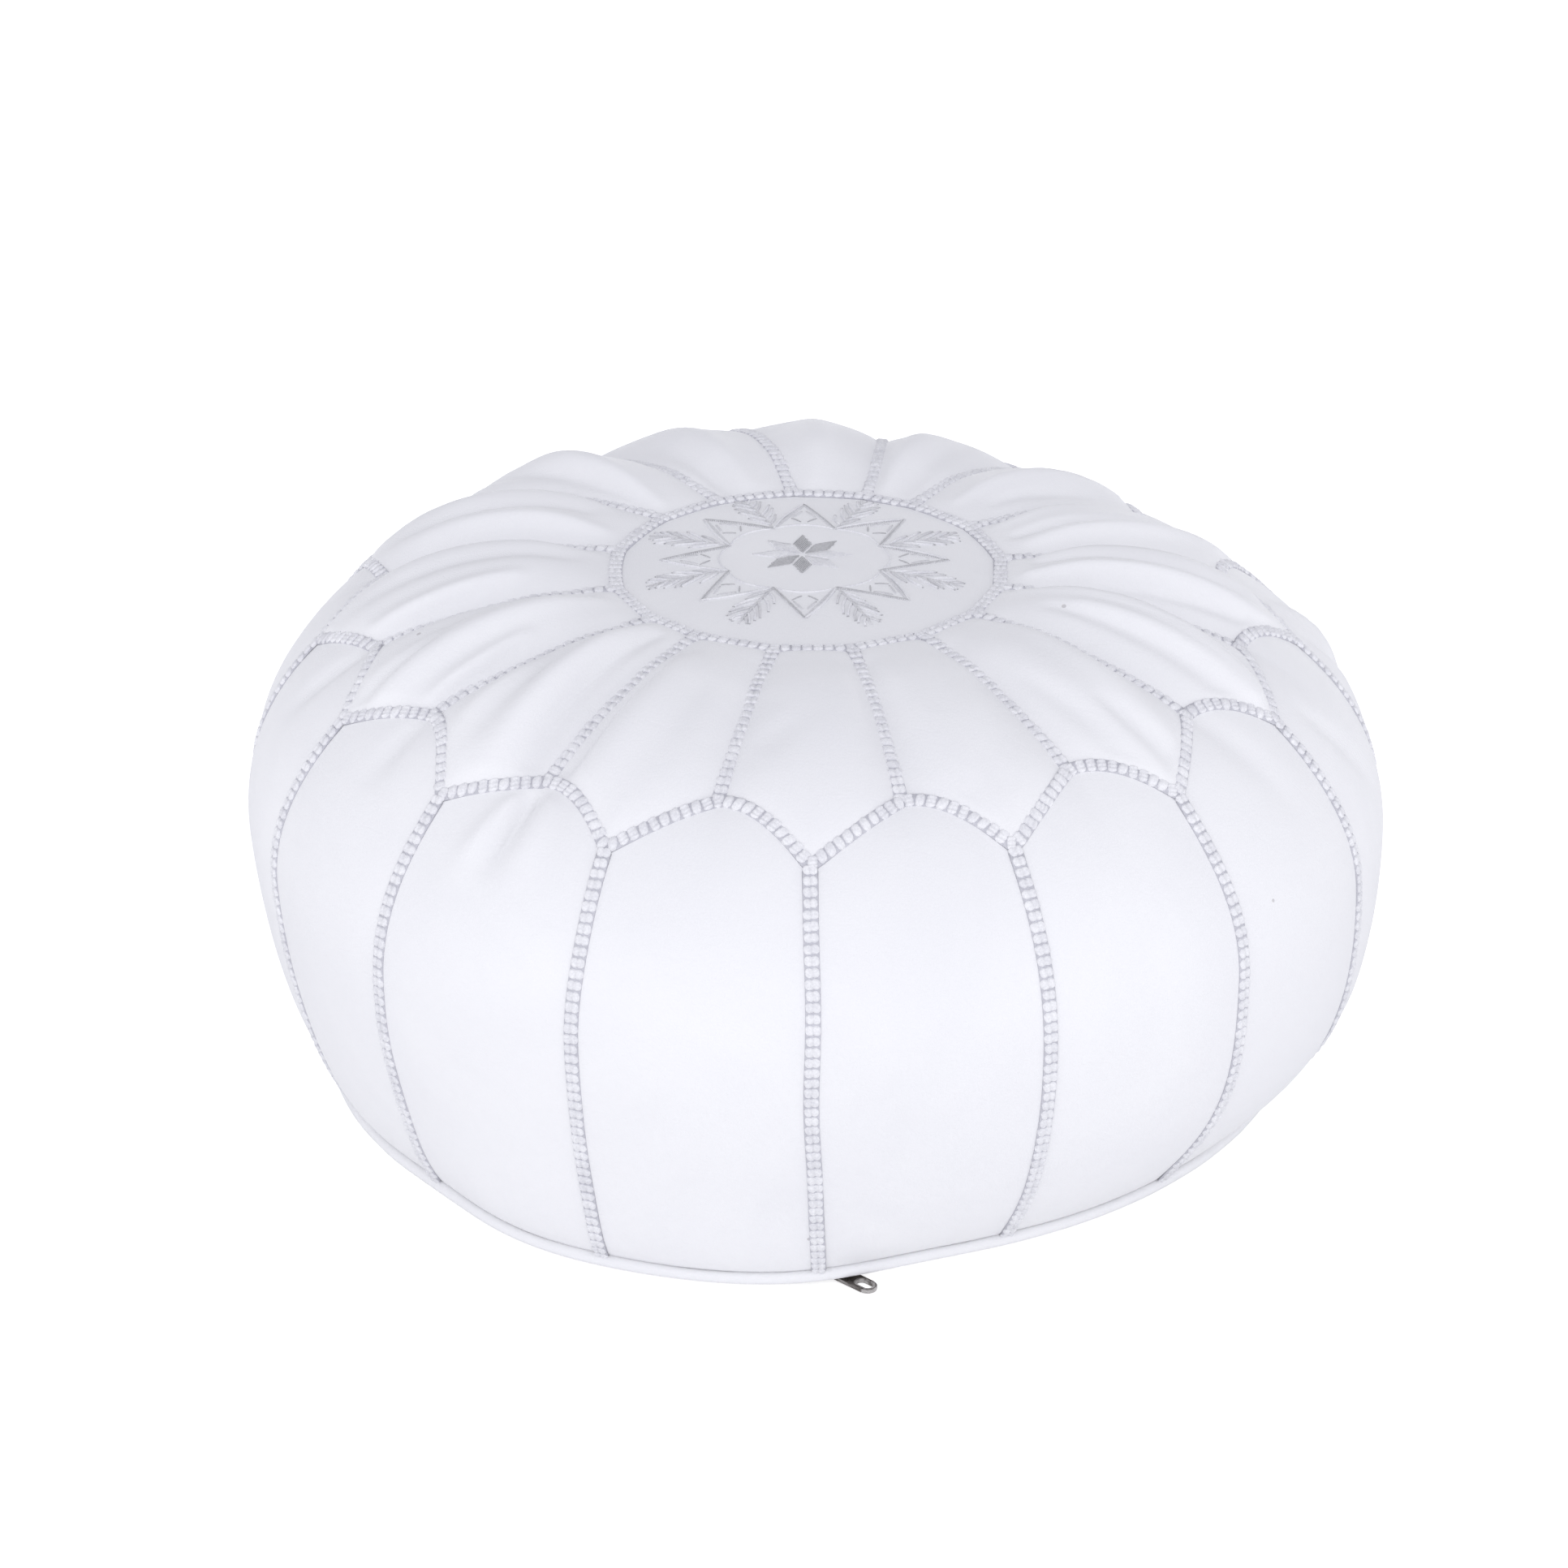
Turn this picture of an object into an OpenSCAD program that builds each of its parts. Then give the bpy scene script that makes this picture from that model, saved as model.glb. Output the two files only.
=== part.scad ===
// Round stuffed leather pouf. Sixteen pointed top pieces run out from an embroidered
// centre disc and meet sixteen arched side pieces along a zigzag seam. Thread braids cover
// every seam. The base is two half discs joined by a zip, whose slider sits under the
// front rim with its pull tab lying out on the floor to one side.
// +Z is up, the zip runs along Y and its closed end is at the front, -Y. Sizes are in mm.

/* [Body] */
// Radius of the belly, the widest level
body_r = 270; // [262:1:280]
// Height of the belly above the floor
belly_z = 130; // [120:1:140]
// Radius of the zigzag seam's lower points
shoulder_r = 229; // [224:1:236]
// Height of the zigzag seam's lower points
shoulder_z = 208; // [200:1:214]
// Radius of the zigzag seam's upper points
peak_r = 203; // [198:1:208]
// Radius of the crest that the top pieces rise to
crest_r = 135; // [128:1:145]
// Height of the crest
crest_z = 250; // [246:1:258]
// Radius of the round seam of the centre disc
ring_r = 91; // [88:1:100]
// Height of the centre disc
ring_z = 245; // [241:1:247]

/* [Rim and base] */
// Radius of the side pieces' lower edge
hem_r = 229; // [226:0.5:231]
// Height of the side pieces' lower edge
hem_z = 7.9; // [7.8:0.1:9]
// Radius of the piping round the rim
welt_r = 228.2; // [228:0.1:228.4]
// Height of the piping's centre
welt_z = 5.7; // [5.6:0.1:5.8]
// Radius of the piping's section
welt_t = 1.9; // [1.6:0.1:1.9]
// Radius of the flat part of the base that rests on the floor
foot_r = 190; // [180:1:200]
// Radius of the base pieces' outer edge
base_r = 225.8; // [225:0.1:225.8]
// Height that the base has reached at its outer edge
base_lift = 4.6; // [4.5:0.1:4.7]
// Half width of the raised trough that the zip lies in
trough_w = 36; // [34:1:40]
// Half width of the trough where it has come down to the floor
trough_foot = 48; // [44:1:56]
// Height of the trough's underside
trough_z = 4.4; // [4.2:0.1:4.5]

/* [Leather, braid and filling] */
// Thickness of the leather
leather = 1.6; // [1.2:0.1:1.6]
// Gap left between neighbouring leather pieces
gap = 0.2; // [0.1:0.05:0.3]
// Width of the braids over the seams
braid_w = 7; // [6:0.5:8]
// Thickness of the braids
braid_t = 1.5; // [1:0.1:1.8]
// Gap between a surface and the braid on it
lift = 0.1; // [0.05:0.05:0.2]
// Gap between the leather and the filling
slack = 0.4; // [0.3:0.1:0.6]

/* [Embroidery] */
// Radius of the star's tips
star_tip = 69; // [60:1:76]
// Radius of the star's inner corners
star_in = 38; // [34:1:42]
// Width of a satin stitch line
stitch_w = 1.6; // [1:0.1:2]
// Height of the stitches above the leather
stitch_t = 0.7; // [0.4:0.1:1]
// Length of a leaf of the centre flower
leaf_l = 27; // [22:1:30]
// Width of a leaf of the centre flower
leaf_w = 9.5; // [8:0.5:10]

/* [Zip] */
// Height of the middle of the tape
zip_z = 6.5; // [6.5:0.05:6.55]
// Thickness of the tape
tape_t = 0.5; // [0.4:0.05:0.5]
// Outer edge of a tape, measured from the middle of the zip
tape_w = 20; // [16:1:22]
// Inner edge of a tape, measured from the middle of the zip
tape_in = 1.5; // [1.4:0.05:1.6]
// Half width of the slot between the base pieces
slot_w = 8.5; // [8:0.1:9]
// Distance from one tooth to the next on one side
pitch = 3.6; // [3.4:0.2:4]
// Thickness of a tooth along the zip
tooth_l = 1.5; // [1.2:0.1:1.6]
// Number of teeth on one side
teeth = 114; // [100:1:114]
// Position of the first tooth along Y
first_tooth = -214.6; // [-214.6:0.2:-213]

/* [Slider and pull tab] */
// Distance from the base's centre to the pull tab's pivot
pivot_y = 217; // [216.5:0.5:217.5]
// Height of the pull tab's pivot
pivot_z = 2.5; // [2.4:0.05:2.5]
// Length of the slider
slider_l = 12; // [11:0.5:12.5]
// Half width of the slider
slider_w = 5.6; // [5.2:0.1:6]
// Thickness of the slider's plates
plate_t = 1.4; // [1.2:0.1:1.4]
// Half width of the loop that holds the pull tab
loop_w = 0.9; // [0.8:0.05:0.9]
// Length of the loop's inside
loop_l = 5.2; // [5.2:0.1:5.4]
// Angle that the pull tab is turned away from the zip's line
swing = 50; // [48:1:52]
// Angle that the pull tab slopes down at
droop = 1.9; // [1.8:0.1:2]
// Length of the pull tab from its pivot
tab_l = 38; // [34:1:40]
// Width of the pull tab
tab_w = 9; // [8.9:0.1:9.4]
// Thickness of the pull tab
tab_t = 1.6; // [1.4:0.1:1.6]
// Length of the oval hole in the pull tab
hole_l = 8.4; // [7:0.2:9]
// Width of the oval hole in the pull tab
hole_w = 5.2; // [4.8:0.1:5.2]

/* [Hidden] */
pieces = 16;
step = 360 / pieces;
front = -90;
lower_n = 8;
upper_n = 6;
top_n = 9;
dish_n = 4;
shoulder_i = lower_n + upper_n;
crest_i = shoulder_i + top_n;
last_i = crest_i + dish_n;
// rise over run of the side where it reaches the shoulder
lean = (shoulder_z - belly_z) / (2 * (body_r - shoulder_r));
far = 2 * body_r;
fine = 48;
// half height of the space between the slider's plates
bay = 1.5;
zip_end = first_tooth + teeth * pitch;

function piece_name(stem, i) = str(stem, i < 10 ? "0" : "", i);

// ---- profile of the body: radius and height, from the hem over the belly to the disc ----

function ease(s) = s * s * (3 - 2 * s);
function lower_at(s) = [body_r - (body_r - hem_r) * pow(1 - s, 2), hem_z + (belly_z - hem_z) * s];
function upper_at(s) = [body_r - (body_r - shoulder_r) * s * s,
                        belly_z + (shoulder_z - belly_z) * s];
function top_at(s) = [shoulder_r - (shoulder_r - crest_r) * s,
                      shoulder_z + lean * (shoulder_r - crest_r) * s * pow(1 - s, 2)
                          + (crest_z - shoulder_z) * ease(s)];
function dish_at(s) = [crest_r - (crest_r - ring_r) * s, crest_z - (crest_z - ring_z) * ease(s)];

profile = concat([for (i = [0:lower_n - 1]) lower_at(i / lower_n)],
                 [for (i = [0:upper_n - 1]) upper_at(i / upper_n)],
                 [for (i = [0:top_n - 1]) top_at(i / top_n)],
                 [for (i = [0:dish_n]) dish_at(i / dish_n)]);

// outward direction of the profile at point i
function outward(i) =
    let (t = profile[min(i + 1, last_i)] - profile[max(i - 1, 0)]) [t[1], -t[0]] / norm(t);
function at(i, d) = profile[i] + d * outward(i);

// solid ring between two offsets of the profile, from point a to point b
module skin(a, b, inner, outer) {
    rotate_extrude($fn = fine)
        polygon(concat([for (i = [a:b]) at(i, outer)], [for (i = [b:-1:a]) at(i, inner)]));
}

// ---- outlines in plan ----

// flat sector between two seams, drawn back from both by d
module sector(angle, d) {
    rotate(angle)
        translate([d / sin(step / 2), 0])
            polygon([[0, 0], far * [1, tan(step / 2)], far * [1, -tan(step / 2)]]);
}

// angle between a star's sides and the radius at one of its tips
function tip_turn(n, tip_r, in_r) =
    atan2(in_r * sin(180 / n), tip_r - in_r * cos(180 / n));

// star with n tips, the first at the front, grown by d on every side
module star(n, tip_r, in_r, d) {
    turn = tip_turn(n, tip_r, in_r);
    polygon([for (k = [0:2 * n - 1])
        let (r = k % 2 == 0 ? tip_r + d / sin(turn) : in_r + d / sin(turn + 180 / n),
             a = front + k * 180 / n)
        r * [cos(a), sin(a)]]);
}

// outline bounded by the zigzag seam, grown by d
module seam_star(d) {
    star(pieces, shoulder_r, peak_r, d);
}

// everything above the belly inside the zigzag seam grown by d
module over_star(d) {
    translate([0, 0, belly_z]) linear_extrude(body_r) seam_star(d);
}

// upright slab along the radius at an angle
module slab(angle, width) {
    rotate([0, 0, angle]) translate([0, -width / 2, 0]) cube([far, width, far]);
}

// ---- cover ----

module medallion() {
    color("white")
        translate([0, 0, ring_z - leather]) cylinder(r = ring_r - gap, h = leather, $fn = fine);
}

// each piece is shaped at the front and turned to its place
module top_petal(i) {
    color("white") rotate([0, 0, i * step]) intersection() {
        skin(shoulder_i, last_i, -leather, 0);
        translate([0, 0, belly_z]) linear_extrude(body_r) intersection() {
            seam_star(-gap / 2);
            sector(front, gap / 2);
        }
    }
}

module side_panel(i) {
    color("white") rotate([0, 0, i * step]) difference() {
        intersection() {
            skin(0, shoulder_i + 3, -leather, 0);
            linear_extrude(far) sector(front + step / 2, gap / 2);
        }
        over_star(gap / 2);
    }
}

// ---- braids ----

module ring_braid() {
    base = ring_z + 2 * lift;
    color("silver") rotate_extrude($fn = fine)
        polygon([[ring_r - braid_w / 2, base], [ring_r + braid_w / 2, base + 2 * lift],
                 [ring_r + braid_w / 4, base + braid_t], [ring_r - braid_w / 4, base + braid_t]]);
}

module radial_braids() {
    color("silver") difference() {
        intersection() {
            skin(shoulder_i + 1, last_i, lift, braid_t);
            over_star(-braid_w / 2 - gap);
            for (k = [0:pieces - 1]) slab(front + (k + 0.5) * step, braid_w);
        }
        cylinder(r = ring_r + braid_w / 2 + gap, h = far, $fn = fine);
    }
}

module zigzag_braid() {
    color("silver") difference() {
        intersection() {
            skin(shoulder_i - 2, shoulder_i + 4, lift, braid_t);
            over_star(braid_w / 2);
        }
        over_star(-braid_w / 2);
    }
}

module side_braids() {
    color("silver") difference() {
        intersection() {
            skin(0, shoulder_i + 1, lift, braid_t);
            for (k = [0:pieces - 1]) slab(front + k * step, braid_w);
        }
        over_star(braid_w / 2 + gap);
    }
}

// ---- embroidery: star outline, inner ring of threads, leaf flower and sprays ----

tips = 8;

function polar(r, a) = r * [cos(a), sin(a)];

module stitch(a, b) {
    translate(a) rotate(atan2(b[1] - a[1], b[0] - a[0]))
        translate([0, -stitch_w / 2]) square([norm(b - a), stitch_w]);
}

module spray(angle) {
    root = polar(star_in + 4, angle);
    end = polar(star_tip + 5, angle);
    stitch(root, end);
    for (s = [0.25, 0.55, 0.85], side = [-1, 1])
        stitch(root + s * (end - root), root + s * (end - root) + polar(11, angle + side * 42));
}

// band of one stitch width along a star's outline
module star_line(tip_r, in_r) {
    difference() {
        star(tips, tip_r, in_r, stitch_w / 2);
        star(tips, tip_r, in_r, -stitch_w / 2);
    }
}

module leaf() {
    polygon([[2, 0], [leaf_l / 2, leaf_w / 2], [leaf_l, 0], [leaf_l / 2, -leaf_w / 2]]);
}

module medallion_embroidery() {
    ring_in = star_in - 3 * stitch_w;
    color("gainsboro") translate([0, 0, ring_z + lift]) linear_extrude(stitch_t) {
        star_line(star_tip, star_in);
        star_line(ring_in * cos(180 / tips), ring_in);
        for (k = [0:tips - 1]) {
            rotate(front + (k + 0.5) * 360 / tips) leaf();
            spray(front + (k + 0.5) * 360 / tips);
        }
    }
}

// ---- base ----

// the space above the base's underside raised by d: flat foot, rising edge and zip trough
module above_base(d, top) {
    intersection() {
        rotate_extrude($fn = fine)
            polygon([[0, d], [foot_r, d], [base_r, base_lift + d], [base_r, top], [0, top]]);
        rotate([90, 0, 0]) translate([0, 0, -far / 2]) linear_extrude(far)
            polygon([[-far, d], [-trough_foot, d], [-trough_w, trough_z + d],
                     [trough_w, trough_z + d], [trough_foot, d], [far, d], [far, top],
                     [-far, top]]);
    }
}

// side is -1 for the left half and 1 for the right
module base_panel(side) {
    color("white") difference() {
        above_base(0, base_lift + leather);
        above_base(leather, far);
        translate([side < 0 ? -gap / 2 : -far + gap / 2, -far / 2, -1]) cube([far, far, far]);
        translate([-slot_w, -far, -1]) cube([2 * slot_w, far + zip_end + 8, far]);
    }
}

module base_welt() {
    color("white") rotate_extrude($fn = fine) translate([welt_r, welt_z]) circle(welt_t, $fn = 24);
}

module filling() {
    inner = -leather - slack;
    floor_z = leather + slack;
    color("ivory") difference() {
        rotate_extrude($fn = fine)
            polygon(concat([[0, floor_z], [foot_r, floor_z],
                            [base_r - 2, base_lift + floor_z], at(0, inner) + [0, 1]],
                           [for (i = [1:last_i]) at(i, inner)], [[0, ring_z + inner]]));
        rotate([90, 0, 0]) translate([0, 0, -far / 2]) linear_extrude(far)
            polygon([[-trough_foot, floor_z], [-trough_w, trough_z + floor_z],
                     [-tape_w - 1, trough_z + floor_z], [-tape_w - 1, zip_z + 1],
                     [-slider_w - 1.4, zip_z + 1], [-slider_w - 1.4, zip_z + bay + plate_t + 0.5],
                     [slider_w + 1.4, zip_z + bay + plate_t + 0.5], [slider_w + 1.4, zip_z + 1],
                     [tape_w + 1, zip_z + 1], [tape_w + 1, trough_z + floor_z],
                     [trough_w, trough_z + floor_z], [trough_foot, floor_z],
                     [trough_foot, -1], [-trough_foot, -1]]);
    }
}

// ---- zip ----

module zip_tape(side) {
    color("whitesmoke") intersection() {
        translate([side < 0 ? -tape_w : tape_in, -base_r, zip_z - tape_t / 2])
            cube([tape_w - tape_in, base_r + zip_end + 4, tape_t]);
        cylinder(r = base_r - 0.4, h = far, $fn = fine);
    }
}

// section of a tooth that grips the tape's edge from above and below, with its nose at x
module grip(nose) {
    slit = tape_t / 2 + 0.1;
    polygon([[nose, 0.9], [0.5, 1.3], [3.4, 1.1], [3.4, slit], [tape_in - 0.15, slit],
             [tape_in - 0.15, -slit], [3.4, -slit], [3.4, -1.1], [0.5, -1.3], [nose, -0.9]]);
}

// a grip turned into place, from y to y + length
module zip_grip(side, nose, y, length) {
    translate([0, y + length, zip_z]) rotate([90, 0, 0])
        linear_extrude(length) mirror([side < 0 ? 1 : 0, 0]) grip(nose);
}

module zip_teeth(side) {
    start = first_tooth + (side < 0 ? 0 : pitch / 2);
    color("dimgray") for (i = [0:teeth - 1])
        zip_grip(side, -0.9, start + i * pitch, tooth_l);
}

module zip_top_stops() {
    color("dimgray") for (side = [-1, 1]) zip_grip(side, 0.45, -base_r + 0.7, 1.2);
}

module zip_bottom_stop() {
    color("dimgray") translate([0, zip_end + 0.6, zip_z]) difference() {
        translate([-3.6, 0, -1.3]) cube([7.2, 2.4, 2.6]);
        for (side = [-1, 1])
            translate([side < 0 ? -4 : tape_in - 0.1, -1, -tape_t / 2 - 0.1])
                cube([4.1 - tape_in, 5, tape_t + 0.2]);
    }
}

module zip_slider() {
    wall = 1.3;
    sill = 0.6;
    color("dimgray") translate([0, -pivot_y, 0]) {
        // upper and lower plate, each with a lip along both sides
        for (face = [-1, 1]) {
            translate([-slider_w, -slider_l / 2,
                       face < 0 ? zip_z - bay - plate_t : zip_z + bay])
                cube([2 * slider_w, slider_l, plate_t]);
            for (side = [-1, 1])
                translate([side < 0 ? -slider_w : slider_w - wall, -slider_l / 2,
                           face < 0 ? zip_z - bay - 0.1 : zip_z + sill])
                    cube([wall, slider_l, bay - sill + 0.1]);
        }
        // wedge that joins the plates in the front mouth
        translate([-0.7, -slider_l / 2, zip_z - bay - 0.1]) cube([1.4, 6.5, 2 * bay + 0.2]);
        // loop under the lower plate
        translate([-loop_w, 0, 0]) rotate([90, 0, 90]) linear_extrude(2 * loop_w) difference() {
            union() {
                translate([-loop_l / 2 - 0.9, 0.9])
                    square([loop_l + 1.8, zip_z - bay - plate_t - 0.8]);
                translate([-loop_l / 2 - 0.3, 0.3]) square([loop_l + 0.6, 0.8]);
            }
            translate([-loop_l / 2, 1.4]) square([loop_l, zip_z - bay - plate_t - 1.4]);
        }
    }
}

module zip_pull_tab() {
    arm = 0.95;
    eye = 5;
    hole_x = tab_l - tab_w / 2 - 1.4;
    bend = (hole_l - hole_w) / 2;
    color("dimgray") translate([0, -pivot_y, pivot_z]) rotate([0, 0, front + swing])
        rotate([0, droop, 0]) difference() {
            union() {
                // round bar that turns in the slider's loop, and the two arms beside the loop
                translate([0, tab_w / 2, 0]) rotate([90, 0, 0])
                    cylinder(r = tab_t / 2, h = tab_w, $fn = fine);
                for (side = [-1, 1])
                    translate([0, side < 0 ? -tab_w / 2 : tab_w / 2 - arm, -tab_t / 2])
                        cube([eye + 1, arm, tab_t]);
                translate([eye, -tab_w / 2, -tab_t / 2])
                    cube([tab_l - tab_w / 2 - eye, tab_w, tab_t]);
                translate([tab_l - tab_w / 2, 0, -tab_t / 2])
                    cylinder(r = tab_w / 2, h = tab_t, $fn = fine);
                // raised edge round the oval hole
                translate([hole_x, 0, -tab_t / 2 - 0.25]) linear_extrude(tab_t + 0.5)
                    oval(bend, hole_w / 2 + 0.8);
            }
            translate([hole_x, 0, -tab_t]) linear_extrude(2 * tab_t) oval(bend, hole_w / 2);
        }
}

// oval of two half discs of radius r, their centres bend to each side of the middle
module oval(bend, r) {
    square([2 * bend, 2 * r], center = true);
    for (side = [-1, 1]) translate([side * bend, 0]) circle(r, $fn = fine);
}

medallion();
medallion_embroidery();
ring_braid();
radial_braids();
zigzag_braid();
side_braids();
base_panel(-1);  // base_panel_left
base_panel(1);  // base_panel_right
base_welt();
filling();
zip_tape(-1);  // zip_tape_left
zip_tape(1);  // zip_tape_right
zip_teeth(-1);  // zip_teeth_left
zip_teeth(1);  // zip_teeth_right
zip_top_stops();
zip_bottom_stop();
zip_slider();
zip_pull_tab();
for (i = [1:pieces]) {
    top_petal(i - 1);
    side_panel(i - 1);
}
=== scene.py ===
"""The look of the leather pouf: a stuffed cover of white leather, its braided seams, embroidery and zip.

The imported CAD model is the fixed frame. Every soft piece here stands for its CAD solid and keeps its place.
"""

from __future__ import annotations

import logging
import math
import sys
from dataclasses import dataclass, field
from enum import Enum

import bpy
import numpy as np
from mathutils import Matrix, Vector


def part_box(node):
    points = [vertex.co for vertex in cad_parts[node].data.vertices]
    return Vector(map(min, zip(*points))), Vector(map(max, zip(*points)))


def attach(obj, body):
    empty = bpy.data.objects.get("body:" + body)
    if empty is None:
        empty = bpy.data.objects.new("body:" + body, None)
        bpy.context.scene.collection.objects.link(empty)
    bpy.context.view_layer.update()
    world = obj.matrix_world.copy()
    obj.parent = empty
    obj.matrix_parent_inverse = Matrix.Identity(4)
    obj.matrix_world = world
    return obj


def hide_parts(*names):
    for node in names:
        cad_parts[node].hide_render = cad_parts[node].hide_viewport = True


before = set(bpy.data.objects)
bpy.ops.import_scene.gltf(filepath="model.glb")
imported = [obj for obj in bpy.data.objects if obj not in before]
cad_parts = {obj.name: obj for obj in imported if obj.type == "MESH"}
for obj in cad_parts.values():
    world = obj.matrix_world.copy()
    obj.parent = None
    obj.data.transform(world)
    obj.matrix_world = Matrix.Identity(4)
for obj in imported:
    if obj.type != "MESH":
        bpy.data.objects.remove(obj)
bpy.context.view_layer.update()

LOG = logging.getLogger("pouf")
MM = 0.001
PANELS = 16
STEP = 360.0 / PANELS
FRONT = -90.0


def ease(t: np.ndarray) -> np.ndarray:
    """Turns 0..1 into a soft start and a soft stop."""
    return t * t * (3.0 - 2.0 * t)


def soft_step(value: np.ndarray, low: float, high: float) -> np.ndarray:
    """Rises smoothly from 0 at low to 1 at high."""
    return ease(np.clip((value - low) / (high - low), 0.0, 1.0))


def numbered(stem: str, index: int) -> str:
    """The name of one of the sixteen pieces that share a stem."""
    return f"{stem}_{index + 1:02d}"


def tell(piece: bpy.types.Object) -> None:
    """Logs a finished piece."""
    LOG.info("%s: %d faces", piece.name, len(piece.data.polygons))


# ---------------------------------------------------------------------------------------------
# Meshes


def new_piece(name: str, points: np.ndarray, faces: list) -> bpy.types.Object:
    """Makes a smoothly shaded mesh object at the origin.

    Args:
        name: The piece's name.
        points: One row of three numbers for each vertex, in metres.
        faces: Vertex indices of each face, or pairs of them for edges alone.

    Returns:
        The new object, linked to the scene.
    """
    mesh = bpy.data.meshes.new(name)
    lines = [f for f in faces if len(f) == 2]
    mesh.from_pydata(np.asarray(points, float).tolist(), lines, [f for f in faces if len(f) > 2])
    mesh.validate()
    if mesh.polygons:
        mesh.shade_smooth()
    piece = bpy.data.objects.new(name, mesh)
    bpy.context.scene.collection.objects.link(piece)
    return piece


def grid_faces(rows: int, columns: int, first: int = 0, flip: bool = False) -> list:
    """The quads of a rows by columns block of vertices that starts at index first."""
    quads = []
    for r in range(rows - 1):
        for c in range(columns - 1):
            a = first + r * columns + c
            quad = (a, a + columns, a + columns + 1, a + 1)
            quads.append(quad[::-1] if flip else quad)
    return quads


def block_rim(rows: int, columns: int) -> list[int]:
    """The indices round the edge of a block of vertices, in order."""
    rim = list(range(columns))
    rim += [r * columns + columns - 1 for r in range(1, rows)]
    rim += [(rows - 1) * columns + c for c in range(columns - 2, -1, -1)]
    return rim + [r * columns for r in range(rows - 2, 0, -1)]


def grid_normals(grid: np.ndarray) -> np.ndarray:
    """Unit normals of a block of points, shaped rows by columns by three."""
    down = np.gradient(grid, axis=0)
    across = np.gradient(grid, axis=1)
    normal = np.cross(down, across)
    return normal / np.maximum(np.linalg.norm(normal, axis=2, keepdims=True), 1e-12)


def thick_sheet(name: str, outer: np.ndarray, thickness: float) -> bpy.types.Object:
    """Makes a closed piece of leather from its outer face.

    Args:
        name: The piece's name.
        outer: The outer face's points, rows by columns by three, normals outwards by grid_normals.
        thickness: How far the inner face lies inside the outer one, in metres.

    Returns:
        The new object.
    """
    rows, columns = outer.shape[:2]
    inner = outer - grid_normals(outer) * thickness
    points = np.concatenate([outer.reshape(-1, 3), inner.reshape(-1, 3)])
    back = rows * columns
    faces = grid_faces(rows, columns) + grid_faces(rows, columns, back, flip=True)
    rim = block_rim(rows, columns)
    for a, b in zip(rim, rim[1:] + rim[:1]):
        faces.append((a, b, b + back, a + back))
    return new_piece(name, points, faces)


def midway(block: np.ndarray) -> np.ndarray:
    """Puts a point between every two rows of a block, on a smooth curve through them."""
    ends = np.concatenate([2 * block[:1] - block[1:2], block, 2 * block[-1:] - block[-2:-1]])
    between = (9 * (ends[1:-2] + ends[2:-1]) - ends[:-3] - ends[3:]) / 16
    out = np.empty((2 * len(block) - 1,) + block.shape[1:])
    out[0::2], out[1::2] = block, between
    return out


def finer(block: np.ndarray) -> np.ndarray:
    """Doubles a block's rows and columns with smooth curves."""
    return np.swapaxes(midway(np.swapaxes(midway(block), 0, 1)), 0, 1)


def graded(count: int, pull: float) -> np.ndarray:
    """Places from -1 to 1 that crowd towards both ends as pull rises from 0 to 1."""
    even = np.linspace(-1.0, 1.0, count)
    return (1 - pull) * even + pull * np.sin(even * math.pi / 2)


# ---------------------------------------------------------------------------------------------
# The body's shape


@dataclass(frozen=True)
class Slump:
    """A place where the stuffed body has sagged or swollen.

    The angle and its spread are in degrees; the level, the depth over which the push fades and the
    push itself, outwards and upwards, are in millimetres. The higher its edge number, the more
    suddenly the push fades round the body.
    """

    angle: float
    spread: float
    level: float
    depth: float
    out: float
    up: float
    edge: float = 2.0


SLUMPS = (
    Slump(angle=-24, spread=36, level=62, depth=48, out=5.5, up=0.0),
    Slump(angle=182, spread=48, level=105, depth=70, out=-8.5, up=0.0),
    Slump(angle=150, spread=32, level=222, depth=30, out=4.0, up=0.0),
    Slump(angle=45, spread=38, level=245, depth=42, out=-4.0, up=-4.0),
    Slump(angle=92, spread=26, level=245, depth=30, out=0.0, up=2.5),
    Slump(angle=-124, spread=9, level=222, depth=26, out=3.0, up=-4.5),
    Slump(angle=-107, spread=24, level=5, depth=38, out=12.0, up=-1.0, edge=4.0),
    Slump(angle=-148, spread=26, level=5, depth=40, out=4.0, up=0.0),
    Slump(angle=-64, spread=24, level=5, depth=34, out=-2.0, up=1.5),
    Slump(angle=-30, spread=24, level=8, depth=34, out=-3.0, up=0.0),
    Slump(angle=-8, spread=20, level=30, depth=32, out=8.0, up=0.0),
)


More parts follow.
